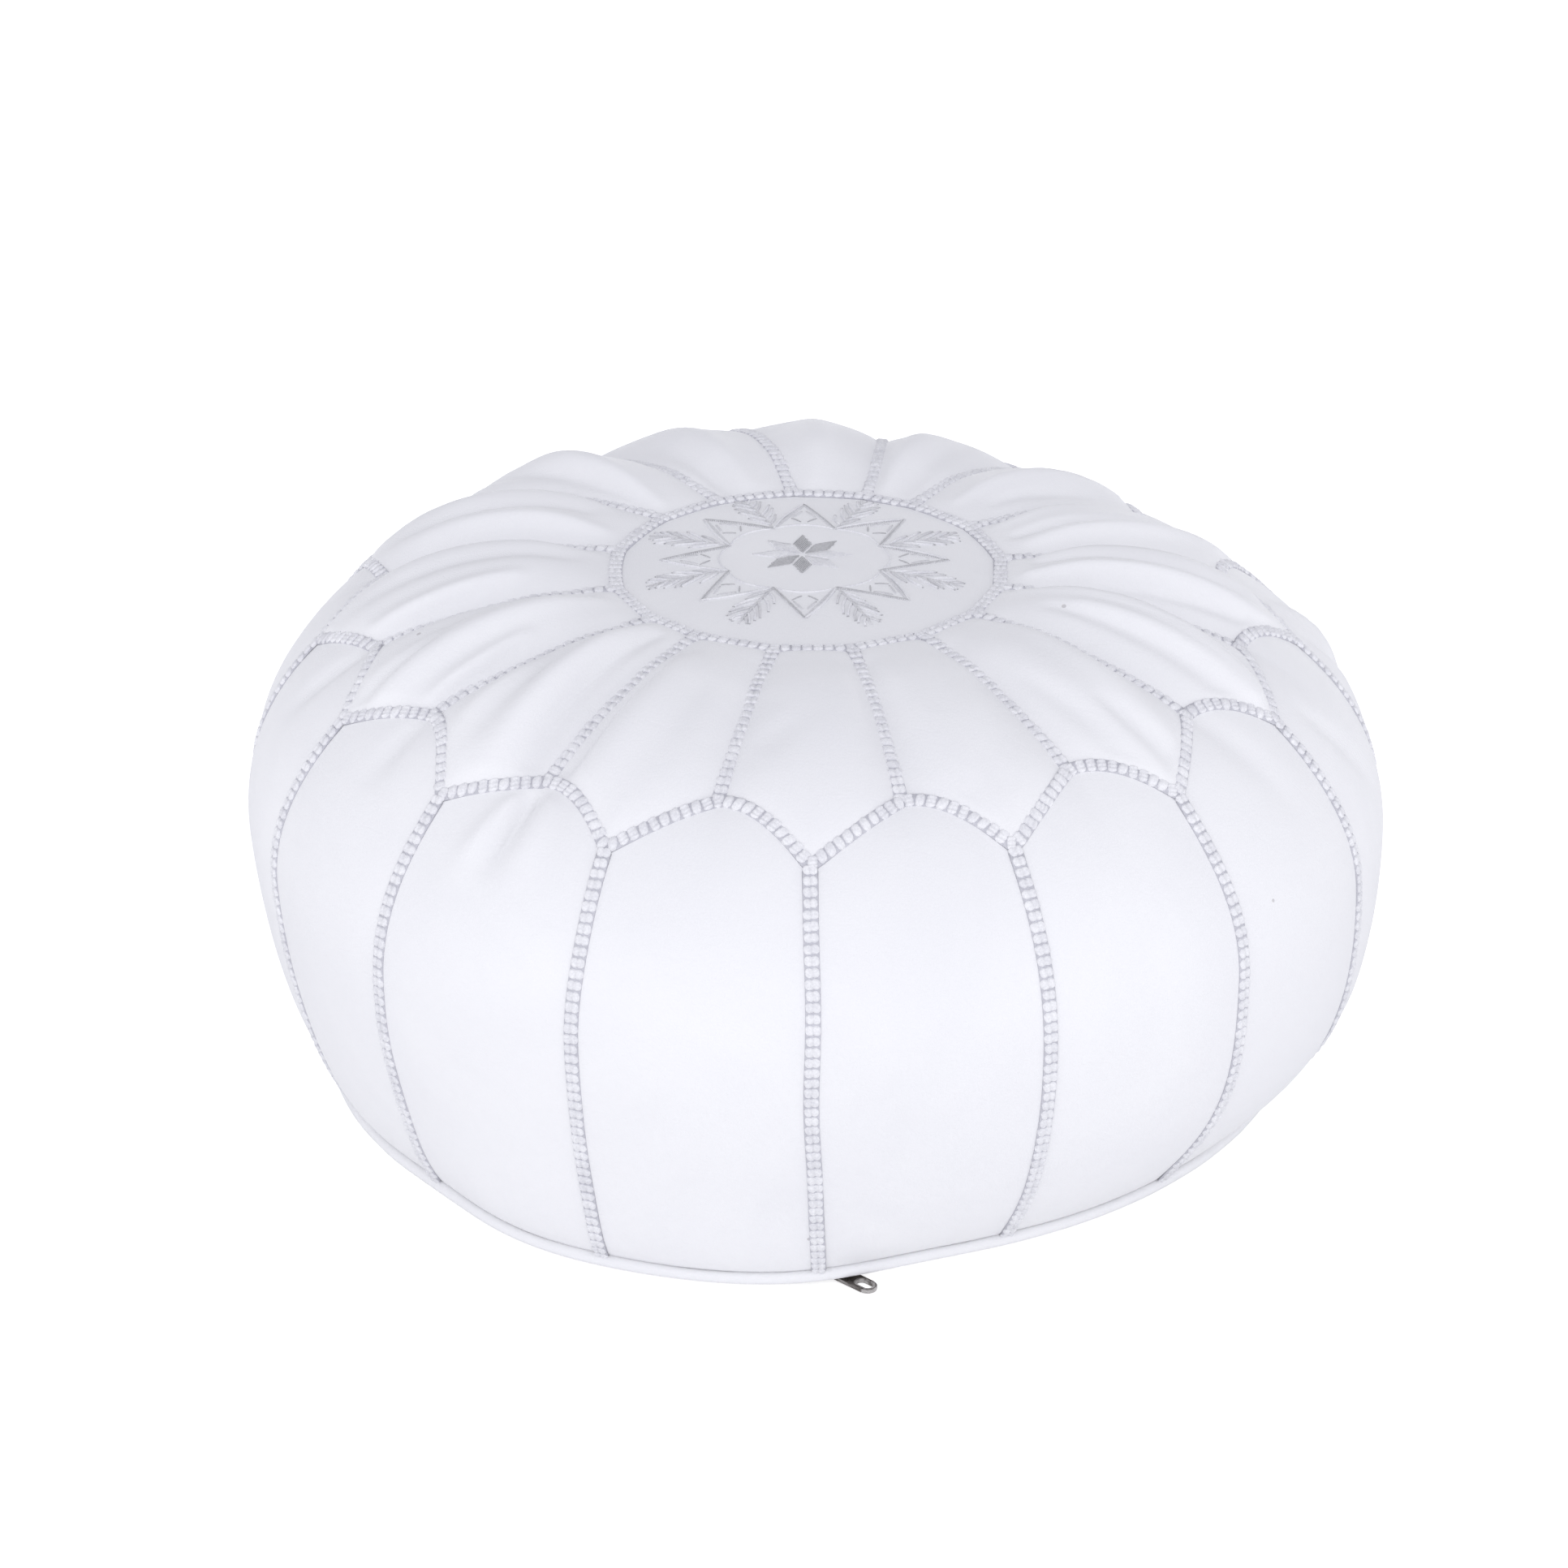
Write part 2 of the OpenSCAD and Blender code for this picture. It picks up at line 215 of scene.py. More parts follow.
@dataclass
class PoufShape:
    """The stuffed body's profile and the seam lines that divide it.

    A place on the cover is an angle round the axis, in degrees, and an arc: the distance along the
    profile from the centre disc's seam, over the top and down the side to the hem, in metres.

    The cover is drawn down into the wadding by sag_depths, in millimetres, at sag_radii. How much of
    that each radial seam takes is its drawn_in, and how much the middle of each petal takes is its
    held_down. The seams lean by ring_sway at the disc and hem_sway at the rim, in degrees.
    """

    crest_r: float = 0.135
    crest_z: float = 0.250
    peak_r: float = 0.203
    shoulder_r: float = 0.229
    shoulder_z: float = 0.208
    belly_z: float = 0.130
    hem_r: float = 0.229
    hem_z: float = 0.0079
    leather: float = 0.0016
    play: float = 0.4 * MM
    seam_sink: float = 0.0016
    arch_left: float = 1.05
    arch_right: float = 1.8
    ring_flat: float = 0.7
    seam_wander: float = 0.2
    slump_from: tuple = (0.09, 0.22)
    sag_radii: tuple = (0.091, 0.120, 0.145, 0.175, 0.203, 0.227, 0.255)
    sag_depths: tuple = (0.0, 5.5, 12.0, 12.0, 7.0, 3.0, 0.0)
    sag_blur: float = 0.016
    drawn_in: tuple = (1.0, 1.0, 1.0, 1.0, 1.0, 0.9, 0.6, 0.4, 0.1, 0.6, 0.8, 1.0, 1.0, 1.0, 1.0, 1.0)
    held_down: tuple = (
        0.5, 0.45, 0.35, 0.15, 0.05, 0.35, 0.3, 0.0, 0.0, 0.3, -0.1, 0.0, 0.05, 0.1, 0.3, 0.45
    )
    ring_sway: tuple = (
        1.0, 0.5, -0.5, -2.0, -4.0, -1.5, 0.0, -7.0, -7.0, -6.0, -7.5, -2.5, 3.5, 5.0, 0.0, 1.5
    )
    sway_fade: float = 1.3
    hem_fade: float = 1.6
    hem_sway: tuple = (1.0, 0.5, 0.5, 4.0, 2.0, 1.0, 0.0, -1.0, 0.5, 1.0, -1.0, 0.0, 0.5, -1.0, -2.0, 0.0)
    seed: int = 11
    ring_r: float = field(init=False)
    ring_z: float = field(init=False)
    belly_r: float = field(init=False)

    def __post_init__(self) -> None:
        """Reads the frame's boxes and lays out the profile."""
        low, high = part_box("medallion")
        self.ring_r = (high.x - low.x) / 2
        self.ring_z = high.z - self.leather / 2
        low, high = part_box("filling")
        self.belly_r = (high.x - low.x) / 2 + self.leather + self.play
        s = np.linspace(1.0, 0.0, 90)[:, None]
        lean = (self.shoulder_z - self.belly_z) / (2 * (self.belly_r - self.shoulder_r))
        reach = self.shoulder_r - self.crest_r
        dish = np.hstack([
            self.crest_r - (self.crest_r - self.ring_r) * s,
            self.crest_z - (self.crest_z - self.ring_z) * ease(s),
        ])
        top = np.hstack([
            self.shoulder_r - reach * s,
            self.shoulder_z
            + lean * reach * s * (1 - s) ** 2
            + (self.crest_z - self.shoulder_z) * ease(s),
        ])
        upper = np.hstack([
            self.belly_r - (self.belly_r - self.shoulder_r) * s**2,
            self.belly_z + (self.shoulder_z - self.belly_z) * s,
        ])
        lower = np.hstack([
            self.belly_r - (self.belly_r - self.hem_r) * (1 - s) ** 2,
            self.hem_z + (self.belly_z - self.hem_z) * s,
        ])
        line = np.vstack([dish, top[1:], upper[1:], lower[1:]])
        step = np.diff(line, axis=0)
        self.line = line
        self.arcs = np.concatenate([[0.0], np.cumsum(np.linalg.norm(step, axis=1))])
        slope = np.gradient(line, axis=0)
        slope /= np.linalg.norm(slope, axis=1, keepdims=True)
        self.facing = np.stack([-slope[:, 1], slope[:, 0]], axis=1)
        self.length = float(self.arcs[-1])
        draw = np.random.default_rng(self.seed)
        self.wander_phase = draw.uniform(0, 2 * math.pi, (2 * PANELS, 2))
        self.wander_size = draw.uniform(0.4, 1.0, 2 * PANELS) * self.seam_wander
        self.sag_arcs = np.linspace(-0.05, self.length + 0.05, 400)
        depths = np.array(self.sag_depths) * MM
        drawn = np.interp(self.sag_arcs, self.arc_at(np.array(self.sag_radii)), depths)
        spread = np.exp(-(((self.sag_arcs - self.sag_arcs.mean()) / self.sag_blur) ** 2))
        self.sags = np.convolve(drawn, spread / spread.sum(), "same") * soft_step(self.sag_arcs, 0.0, 0.02)

    def arc_at(self, radius: np.ndarray) -> np.ndarray:
        """The arc at which the top or the shoulder has this radius."""
        rising = self.line[:, 0].argmax()
        return np.interp(radius, self.line[:rising, 0], self.arcs[:rising])

    def zigzag_arc(self, share: np.ndarray, after_peak: np.ndarray) -> np.ndarray:
        """The zigzag seam's arc.

        Args:
            share: 0 at a peak, 1 at the valley beside it.
            after_peak: True where the place lies past the peak, going round anticlockwise.

        Returns:
            The arc at each place, in metres.
        """
        power = np.where(after_peak, self.arch_right, self.arch_left)
        radius = self.peak_r + (self.shoulder_r - self.peak_r) * np.abs(share) ** power
        return self.arc_at(radius)

    def wander(self, line: int, along: np.ndarray) -> np.ndarray:
        """How far seam line 0..31 strays sideways at 0..1 along itself, in degrees."""
        one, two = self.wander_phase[line]
        sway = np.sin(2 * math.pi * along + one) + 0.5 * np.sin(5 * math.pi * along + two)
        return self.wander_size[line] * sway * np.sin(math.pi * np.clip(along, 0, 1))

    def radial_angle(self, peak: int, along: np.ndarray) -> np.ndarray:
        """The angle of the radial seam that ends in this peak, at 0..1 from the disc to the zigzag."""
        turned = self.ring_sway[peak % PANELS] * (1 - along) ** self.sway_fade
        return FRONT + STEP * (peak + 0.5) + turned + self.wander(2 * (peak % PANELS) + 1, along)

    def side_angle(self, valley: int, along: np.ndarray) -> np.ndarray:
        """The angle of the side seam below this valley, at 0..1 from the zigzag to the hem."""
        turned = self.hem_sway[valley % PANELS] * along**self.hem_fade
        return FRONT + STEP * valley + turned + self.wander(2 * (valley % PANELS), along)

    def petal_place(self, index: int, u: np.ndarray, v: np.ndarray) -> tuple[np.ndarray, np.ndarray]:
        """Angle and arc of places on a top petal.

        Args:
            index: The petal, 0 at the front.
            u: -1..1 across it, anticlockwise.
            v: 0..1 from the centre disc to the zigzag seam.

        Returns:
            The angles in degrees and the arcs in metres.
        """
        before, after = self.radial_angle(index - 1, v), self.radial_angle(index, v)
        centre = FRONT + STEP * index + 0.25 * (1 - v) * (
            self.ring_sway[(index - 1) % PANELS] + self.ring_sway[index % PANELS]
        )
        angle = np.where(u < 0, centre + (centre - before) * u, centre + (after - centre) * u)
        arc = self.ring_dent(u) + v * (self.zigzag_arc(1 - np.abs(u), u < 0) - self.ring_dent(u))
        return angle, arc

    def ring_dent(self, u: np.ndarray) -> np.ndarray:
        """How far the disc's seam runs inside its circle, because it is pulled straight between seams."""
        sagitta = self.ring_r * (1 - math.cos(math.radians(STEP / 2)))
        return -self.ring_flat * sagitta * (1 - np.abs(u) ** 2)

    def panel_place(self, index: int, u: np.ndarray, v: np.ndarray) -> tuple[np.ndarray, np.ndarray]:
        """Angle and arc of places on a side panel, as petal_place gives them; v is 0 at the zigzag."""
        before, after = self.side_angle(index, v), self.side_angle(index + 1, v)
        middle = FRONT + STEP * (index + 0.5)
        centre = middle + 0.5 * (before - FRONT - STEP * index + after - FRONT - STEP * (index + 1))
        angle = np.where(u < 0, centre + (centre - before) * u, centre + (after - centre) * u)
        start = self.zigzag_arc(np.abs(u), u > 0)
        return angle, start + v * (self.length - start)

    def sag(self, angle: np.ndarray, arc: np.ndarray) -> np.ndarray:
        """How far the cover is drawn down into the wadding, most along the radial seams, in metres."""
        share = np.clip(arc / float(self.arc_at(np.array(self.peak_r))), 0, 1)
        numbers = np.arange(PANELS)
        straight = angle
        for _ in range(2):
            turned = np.interp((straight - FRONT) / STEP - 0.5, numbers, self.ring_sway, period=PANELS)
            straight = angle - turned * (1 - share) ** self.sway_fade
        place = (straight - FRONT) / STEP
        near_seam = np.abs((place + 0.5) % 1.0 * 2 - 1) ** 2
        held = np.interp(place, numbers, self.held_down, period=PANELS)
        drawn = np.interp(place - 0.5, numbers, self.drawn_in, period=PANELS)
        return np.interp(arc, self.sag_arcs, self.sags) * drawn * (held + (1 - held) * near_seam)

    def point(self, angle: np.ndarray, arc: np.ndarray, lift: np.ndarray | float = 0.0) -> np.ndarray:
        """Points on the body, lifted off it along its normal, in metres."""
        flat = np.radians(angle)
        along = np.clip(arc, 0, self.length)
        radius = np.interp(along, self.arcs, self.line[:, 0]) + np.minimum(arc, 0.0)
        height = np.interp(along, self.arcs, self.line[:, 1])
        out_r = np.interp(along, self.arcs, self.facing[:, 0])
        out_z = np.interp(along, self.arcs, self.facing[:, 1])
        radius = radius + lift * out_r
        height = height - self.sag(angle, arc) + lift * out_z
        spot = np.stack([radius * np.cos(flat), radius * np.sin(flat), height], axis=-1)
        return self.settle(spot)

    def normal(self, angle: np.ndarray, arc: np.ndarray) -> np.ndarray:
        """Unit normals of the body."""
        lifted = self.point(angle, arc, 1 * MM) - self.point(angle, arc, 0.0)
        return lifted / np.linalg.norm(lifted, axis=-1, keepdims=True)

    def settle(self, spot: np.ndarray) -> np.ndarray:
        """Sags and swells the body here and there, as wadding does once it has been sat on."""
        x, y, z = spot[..., 0], spot[..., 1], spot[..., 2]
        angle, radius = np.degrees(np.arctan2(y, x)), np.maximum(np.hypot(x, y), 1e-6)
        share = soft_step(radius, *self.slump_from)
        out, up = 0.0 * x, 0.0 * x
        for slump in SLUMPS:
            off = (angle - slump.angle + 180) % 360 - 180
            round_body = np.abs(off / slump.spread) ** slump.edge
            near = share * np.exp(-round_body - ((z / MM - slump.level) / slump.depth) ** 2)
            out, up = out + near * slump.out * MM, up + near * slump.up * MM
        wide = 1 + out / radius
        return np.stack([x * wide, y * wide, z + up], axis=-1)


# ---------------------------------------------------------------------------------------------
# Finishes


class Wiring:
    """A short way to lay out a node tree."""

    def __init__(self, tree: bpy.types.NodeTree) -> None:
        """Keeps the tree that the nodes go in."""
        self.tree = tree

    def add(self, kind: str, inputs: dict | None = None, **settings: object) -> bpy.types.Node:
        """Adds a node.

        Args:
            kind: The node's type name.
            inputs: Values or output sockets for its inputs, by name or number.
            settings: The node's own properties.

        Returns:
            The new node.
        """
        node = self.tree.nodes.new(kind)
        for key, value in settings.items():
            setattr(node, key, value)
        self.feed(node, inputs or {})
        return node

    def feed(self, node: bpy.types.Node, inputs: dict) -> None:
        """Gives a node's inputs their values or links, by name or number."""
        for key, value in inputs.items():
            if isinstance(value, bpy.types.NodeSocket):
                self.tree.links.new(value, node.inputs[key])
            else:
                node.inputs[key].default_value = value

    def group(self, tree: bpy.types.NodeTree, inputs: dict) -> bpy.types.NodeOutputs:
        """The outputs of a node group that is fed with these inputs."""
        return self.add("ShaderNodeGroup", inputs, node_tree=tree).outputs

    def maths(self, operation: str, first: object, second: object = 0.0) -> bpy.types.NodeSocket:
        """The result of a Math node."""
        return self.add("ShaderNodeMath", {0: first, 1: second}, operation=operation).outputs[0]

    def ramp(self, value: bpy.types.NodeSocket, low: float, high: float) -> bpy.types.NodeSocket:
        """A smooth 0..1 mask of a value between low and high."""
        node = self.add("ShaderNodeMapRange", {0: value, 1: low, 2: high}, interpolation_type="SMOOTHSTEP")
        return node.outputs[0]

    def mix(self, share: object, first: object, second: object) -> bpy.types.NodeSocket:
        """Two colours mixed by share."""
        return self.add("ShaderNodeMix", {0: share, 6: first, 7: second}, data_type="RGBA").outputs[2]

    def spread(self, share: object, low: float, high: float) -> bpy.types.NodeSocket:
        """A share of 0..1 spread between low and high."""
        return self.add("ShaderNodeMapRange", {0: share, 3: low, 4: high}).outputs[0]

    def noise(
        self, place: object, scale: object, detail: float, roughness: float = 0.5, distortion: float = 0.0
    ) -> bpy.types.NodeOutputs:
        """The outputs of a noise texture."""
        look = {"Scale": scale, "Detail": detail, "Roughness": roughness, "Distortion": distortion}
        return self.add("ShaderNodeTexNoise", {"Vector": place, **look}).outputs

    def bump(self, height: object, strength: float, distance: float) -> bpy.types.NodeSocket:
        """The normal that a height presses into the surface, distance metres deep."""
        inputs = {"Strength": strength, "Distance": distance, "Height": height}
        return self.add("ShaderNodeBump", inputs).outputs[0]


def effect(
    name: str, inputs: dict[str, str], outputs: dict[str, str]
) -> tuple[bpy.types.NodeTree, Wiring]:
    """Starts a shader node group.

    Args:
        name: The group's name.
        inputs: Each input's socket type, by name.
        outputs: Each output's socket type, by name.

    Returns:
        The group and its wiring.
    """
    tree = bpy.data.node_groups.new(name, "ShaderNodeTree")
    for label, kind in inputs.items():
        tree.interface.new_socket(label, in_out="INPUT", socket_type=kind)
    for label, kind in outputs.items():
        tree.interface.new_socket(label, in_out="OUTPUT", socket_type=kind)
    return tree, Wiring(tree)


@dataclass
class Effects:
    """The surface effects that the finishes share, each one node group."""

    wobble: float = 0.004
    pebble_edge: float = 0.22
    crease_edge: float = 0.03
    heights: tuple = (0.45, 0.35, 0.5)
    speck_size: float = 0.038
    speck_rarity: float = 0.9
    lustre_scale: float = 90.0
    grain: bpy.types.NodeTree = field(init=False)
    cloudy: bpy.types.NodeTree = field(init=False)
    strands: bpy.types.NodeTree = field(init=False)
    wear: bpy.types.NodeTree = field(init=False)

    def __post_init__(self) -> None:
        """Builds the groups."""
        self.grain = self.build_grain()
        self.cloudy = self.build_cloudy()
        self.strands = self.build_strands()
        self.wear = self.build_wear()

    def build_grain(self) -> bpy.types.NodeTree:
        """Leather grain: small pebbles with fine creases between them."""
        tree, w = effect(
            "leather_grain",
            {
                "Vector": "NodeSocketVector",
                "Pebble Scale": "NodeSocketFloat",
                "Crease Scale": "NodeSocketFloat",
            },
            {"Height": "NodeSocketFloat", "Creases": "NodeSocketFloat"},
        )
        given = w.add("NodeGroupInput").outputs
        bent = w.noise(given["Vector"], given["Crease Scale"], detail=3.0)
        shift = w.add("ShaderNodeVectorMath", {0: bent["Color"], "Scale": self.wobble}, operation="SCALE")
        ends = {0: given["Vector"], 1: shift.outputs[0]}
        moved = w.add("ShaderNodeVectorMath", ends, operation="ADD").outputs[0]
        cells = w.add(
            "ShaderNodeTexVoronoi",
            {"Vector": moved, "Scale": given["Pebble Scale"]},
            feature="DISTANCE_TO_EDGE",
        )
        pebble = w.ramp(cells.outputs["Distance"], 0.0, self.pebble_edge)
        fine = w.noise(moved, given["Pebble Scale"], detail=4.0)
        folds = w.noise(moved, given["Crease Scale"], detail=5.0, roughness=0.55, distortion=0.6)
        ridge = w.maths("ABSOLUTE", w.maths("SUBTRACT", folds["Fac"], 0.5))
        crease = w.ramp(ridge, 0.0, self.crease_edge)
        layers = [
            w.maths("MULTIPLY", layer, share)
            for layer, share in zip((pebble, fine["Fac"], crease), self.heights)
        ]
        height = w.maths("ADD", w.maths("ADD", layers[0], layers[1]), layers[2])
        w.add("NodeGroupOutput", {"Height": height, "Creases": w.maths("SUBTRACT", 1.0, crease)})
        return tree

    def build_cloudy(self) -> bpy.types.NodeTree:
        """Soft clouds and sparse specks, for hides and dyed threads."""
        tree, w = effect(
            "clouds_and_specks",
            {
                "Vector": "NodeSocketVector",
                "Cloud Scale": "NodeSocketFloat",
                "Speck Scale": "NodeSocketFloat",
            },
            {"Clouds": "NodeSocketFloat", "Specks": "NodeSocketFloat"},
        )
        given = w.add("NodeGroupInput").outputs
        cloud = w.noise(
            given["Vector"], given["Cloud Scale"], detail=5.0, roughness=0.6, distortion=0.8
        )
        cells = w.add("ShaderNodeTexVoronoi", {"Vector": given["Vector"], "Scale": given["Speck Scale"]})
        small = w.maths("LESS_THAN", cells.outputs["Distance"], self.speck_size)
        tint = w.add("ShaderNodeSeparateColor", {0: cells.outputs["Color"]})
        rare = w.maths("GREATER_THAN", tint.outputs[0], self.speck_rarity)
        specks = w.maths("MULTIPLY", small, rare)
        w.add("NodeGroupOutput", {"Clouds": w.ramp(cloud["Fac"], 0.3, 0.7), "Specks": specks})
        return tree

    def build_strands(self) -> bpy.types.NodeTree:
        """Fine fibres that lie along one direction, for threads and tape."""
        tree, w = effect(
            "fine_strands",
            {"Vector": "NodeSocketVector", "Scale": "NodeSocketFloat", "Stretch": "NodeSocketVector"},
            {"Height": "NodeSocketFloat", "Shade": "NodeSocketFloat"},
        )
        given = w.add("NodeGroupInput").outputs
        ends = {0: given["Vector"], 1: given["Stretch"]}
        drawn = w.add("ShaderNodeVectorMath", ends, operation="MULTIPLY").outputs[0]
        fibre = w.noise(drawn, given["Scale"], detail=4.0, roughness=0.7)["Fac"]
        lustre = w.noise(given["Vector"], self.lustre_scale, detail=3.0)["Fac"]
        shade = w.maths("ADD", w.ramp(lustre, 0.3, 0.7), w.ramp(fibre, 0.42, 0.58))
        w.add("NodeGroupOutput", {"Height": fibre, "Shade": w.maths("MULTIPLY", shade, 0.5)})
        return tree

    def build_wear(self) -> bpy.types.NodeTree:
        """Rubbed edges and faint smears, for metal."""
        tree, w = effect(
            "rubbed_edges",
            {"Vector": "NodeSocketVector", "Smear Scale": "NodeSocketFloat"},
            {"Edges": "NodeSocketFloat", "Smears": "NodeSocketFloat"},
        )
        given = w.add("NodeGroupInput").outputs
        smear = w.noise(given["Vector"], given["Smear Scale"], detail=6.0, roughness=0.65)["Fac"]
        point = w.add("ShaderNodeNewGeometry").outputs["Pointiness"]
        edge = w.maths("MULTIPLY", w.ramp(point, 0.51, 0.57), w.ramp(smear, 0.3, 0.6))
        w.add("NodeGroupOutput", {"Edges": edge, "Smears": w.ramp(smear, 0.35, 0.7)})
        return tree


@dataclass(frozen=True)
class Finish:
    """What every finish has: a name and its shader's starting point."""

    name: str

    def start(self) -> tuple[bpy.types.Material, Wiring, bpy.types.Node, bpy.types.NodeSocket]:
        """A new material, its wiring, its Principled shader and its object coordinates."""
        material = bpy.data.materials.new(self.name)
        material.use_nodes = True
        w = Wiring(material.node_tree)
        shader = material.node_tree.nodes["Principled BSDF"]
        place = w.add("ShaderNodeTexCoord").outputs["Object"]
        return material, w, shader, place


@dataclass(frozen=True)
class Leather(Finish):
    """Smooth white sheep or goat leather with a close grain."""

    light: tuple = (0.90, 0.90, 0.905, 1.0)
    dark: tuple = (0.862, 0.862, 0.872, 1.0)
    fleck: tuple = (0.42, 0.40, 0.40, 1.0)
    roughness: tuple = (0.42, 0.56)
    gloss: float = 0.40
    pebble: float = 520.0
    crease: float = 34.0
    cloud: float = 7.0
    speck: float = 34.0
    crease_shade_share: float = 0.10
    fleck_share: float = 0.55
    depth: float = 0.16

    def material(self, effects: Effects) -> bpy.types.Material:
        """Builds the leather."""
        material, w, shader, place = self.start()
        scales = {"Pebble Scale": self.pebble, "Crease Scale": self.crease}
        grain = w.group(effects.grain, {"Vector": place, **scales})
        scales = {"Cloud Scale": self.cloud, "Speck Scale": self.speck}
        cloud = w.group(effects.cloudy, {"Vector": place, **scales})
        colour = w.mix(cloud["Clouds"], self.light, self.dark)
        # The grain's creases are darkened in colour: painted shade in the creases.
        colour = w.mix(w.maths("MULTIPLY", grain["Creases"], self.crease_shade_share), colour, self.dark)
        colour = w.mix(w.maths("MULTIPLY", cloud["Specks"], self.fleck_share), colour, self.fleck)
        rubbed = w.maths("MULTIPLY", cloud["Clouds"], grain["Height"])
        w.feed(shader, {
            "Base Color": colour,
            "Roughness": w.spread(rubbed, *self.roughness),
            "Specular IOR Level": self.gloss,
            "Normal": w.bump(grain["Height"], self.depth, 0.6 * MM),
        })
        return material


@dataclass(frozen=True)
class Thread(Finish):
    """Glossy viscose thread, as the braids and the embroidery are sewn with."""

    light: tuple = (0.93, 0.93, 0.94, 1.0)
    dark: tuple = (0.74, 0.74, 0.77, 1.0)
    roughness: float = 0.34
    roughness_spread: float = 0.14
    sheen: float = 0.25
    fibre: float = 950.0
    depth: float = 0.5

    def material(self, effects: Effects) -> bpy.types.Material:
        """Builds the thread."""
        material, w, shader, place = self.start()
        fibres = {"Vector": place, "Scale": self.fibre, "Stretch": (1.0, 1.0, 1.0)}
        strands = w.group(effects.strands, fibres)
        roughest = self.roughness + self.roughness_spread
        w.feed(shader, {
            "Base Color": w.mix(strands["Shade"], self.dark, self.light),
            "Roughness": w.spread(strands["Shade"], self.roughness, roughest),
            "Sheen Weight": self.sheen,
            "Normal": w.bump(strands["Height"], self.depth, 0.3 * MM),
        })
        return material


@dataclass(frozen=True)
class Gunmetal(Finish):
    """Dark plated zinc, rubbed bright along its edges."""

    dark: tuple = (0.15, 0.135, 0.125, 1.0)
    smear: tuple = (0.225, 0.2025, 0.1875, 1.0)
    bright: tuple = (0.62, 0.60, 0.58, 1.0)
    smear_scale: float = 260.0
    metallic: float = 0.92
    roughness: tuple = (0.26, 0.46)
    depth: float = 0.12

    def material(self, effects: Effects) -> bpy.types.Material:
        """Builds the metal."""
        material, w, shader, place = self.start()
        wear = w.group(effects.wear, {"Vector": place, "Smear Scale": self.smear_scale})
        smeared = w.mix(wear["Smears"], self.dark, self.smear)
        w.feed(shader, {
            "Base Color": w.mix(wear["Edges"], smeared, self.bright),
            "Metallic": self.metallic,
            "Roughness": w.spread(wear["Smears"], *self.roughness),
            "Normal": w.bump(wear["Smears"], self.depth, 0.2 * MM),
        })
        return material


@dataclass(frozen=True)
class WovenTape(Finish):
    """Twill tape that the zip's teeth are clamped to."""

    light: tuple = (0.80, 0.79, 0.76, 1.0)
    dark: tuple = (0.60, 0.59, 0.57, 1.0)
    picks: float = 700.0
    fibre: float = 1500.0
    roughness: tuple = (0.75, 0.92)
    depth: float = 0.5

    def material(self, effects: Effects) -> bpy.types.Material:
        """Builds the tape."""
        material, w, shader, place = self.start()
        wave = {"Vector": place, "Scale": self.picks}
        twill = w.add("ShaderNodeTexWave", {**wave, "Distortion": 0.4}, bands_direction="DIAGONAL")
        cross = w.add("ShaderNodeTexWave", wave, bands_direction="Y")
        weave = w.maths("MULTIPLY", twill.outputs["Fac"], cross.outputs["Fac"])
        fibres = {"Vector": place, "Scale": self.fibre, "Stretch": (1.0, 0.2, 1.0)}
        strands = w.group(effects.strands, fibres)
        w.feed(shader, {
            "Base Color": w.mix(w.maths("MULTIPLY", weave, strands["Shade"]), self.dark, self.light),
            "Roughness": w.spread(weave, *self.roughness),
            "Normal": w.bump(weave, self.depth, 0.3 * MM),
        })
        return material


@dataclass(frozen=True)
class Wadding(Finish):
    """Matted cotton wadding."""

    light: tuple = (0.86, 0.85, 0.81, 1.0)
    dark: tuple = (0.62, 0.60, 0.55, 1.0)
    fibre: float = 180.0
    cloud: float = 22.0
    speck: float = 160.0
    roughness: tuple = (0.85, 0.98)
    depth: float = 0.8

    def material(self, effects: Effects) -> bpy.types.Material:
        """Builds the wadding."""
        material, w, shader, place = self.start()
        fibres = {"Vector": place, "Scale": self.fibre, "Stretch": (1.0, 0.35, 1.0)}
        strands = w.group(effects.strands, fibres)
        scales = {"Cloud Scale": self.cloud, "Speck Scale": self.speck}
        cloud = w.group(effects.cloudy, {"Vector": place, **scales})
        w.feed(shader, {
            "Base Color": w.mix(cloud["Clouds"], self.light, self.dark),
            "Roughness": w.spread(strands["Shade"], *self.roughness),
            "Normal": w.bump(strands["Height"], self.depth, 3 * MM),
        })
        return material


class Dye(Enum):
    """Which finish a piece is made of."""

    LEATHER = "leather"
    BASE_LEATHER = "base leather"
    WHITE_THREAD = "white thread"
    GREY_THREAD = "grey thread"
    PALE_THREAD = "pale thread"
    # The braids' beds: a dark grey that is painted shade between the clusters.
    SHADOW_THREAD = "shadow thread"
    METAL = "metal"
    TAPE = "tape"
    WADDING = "wadding"


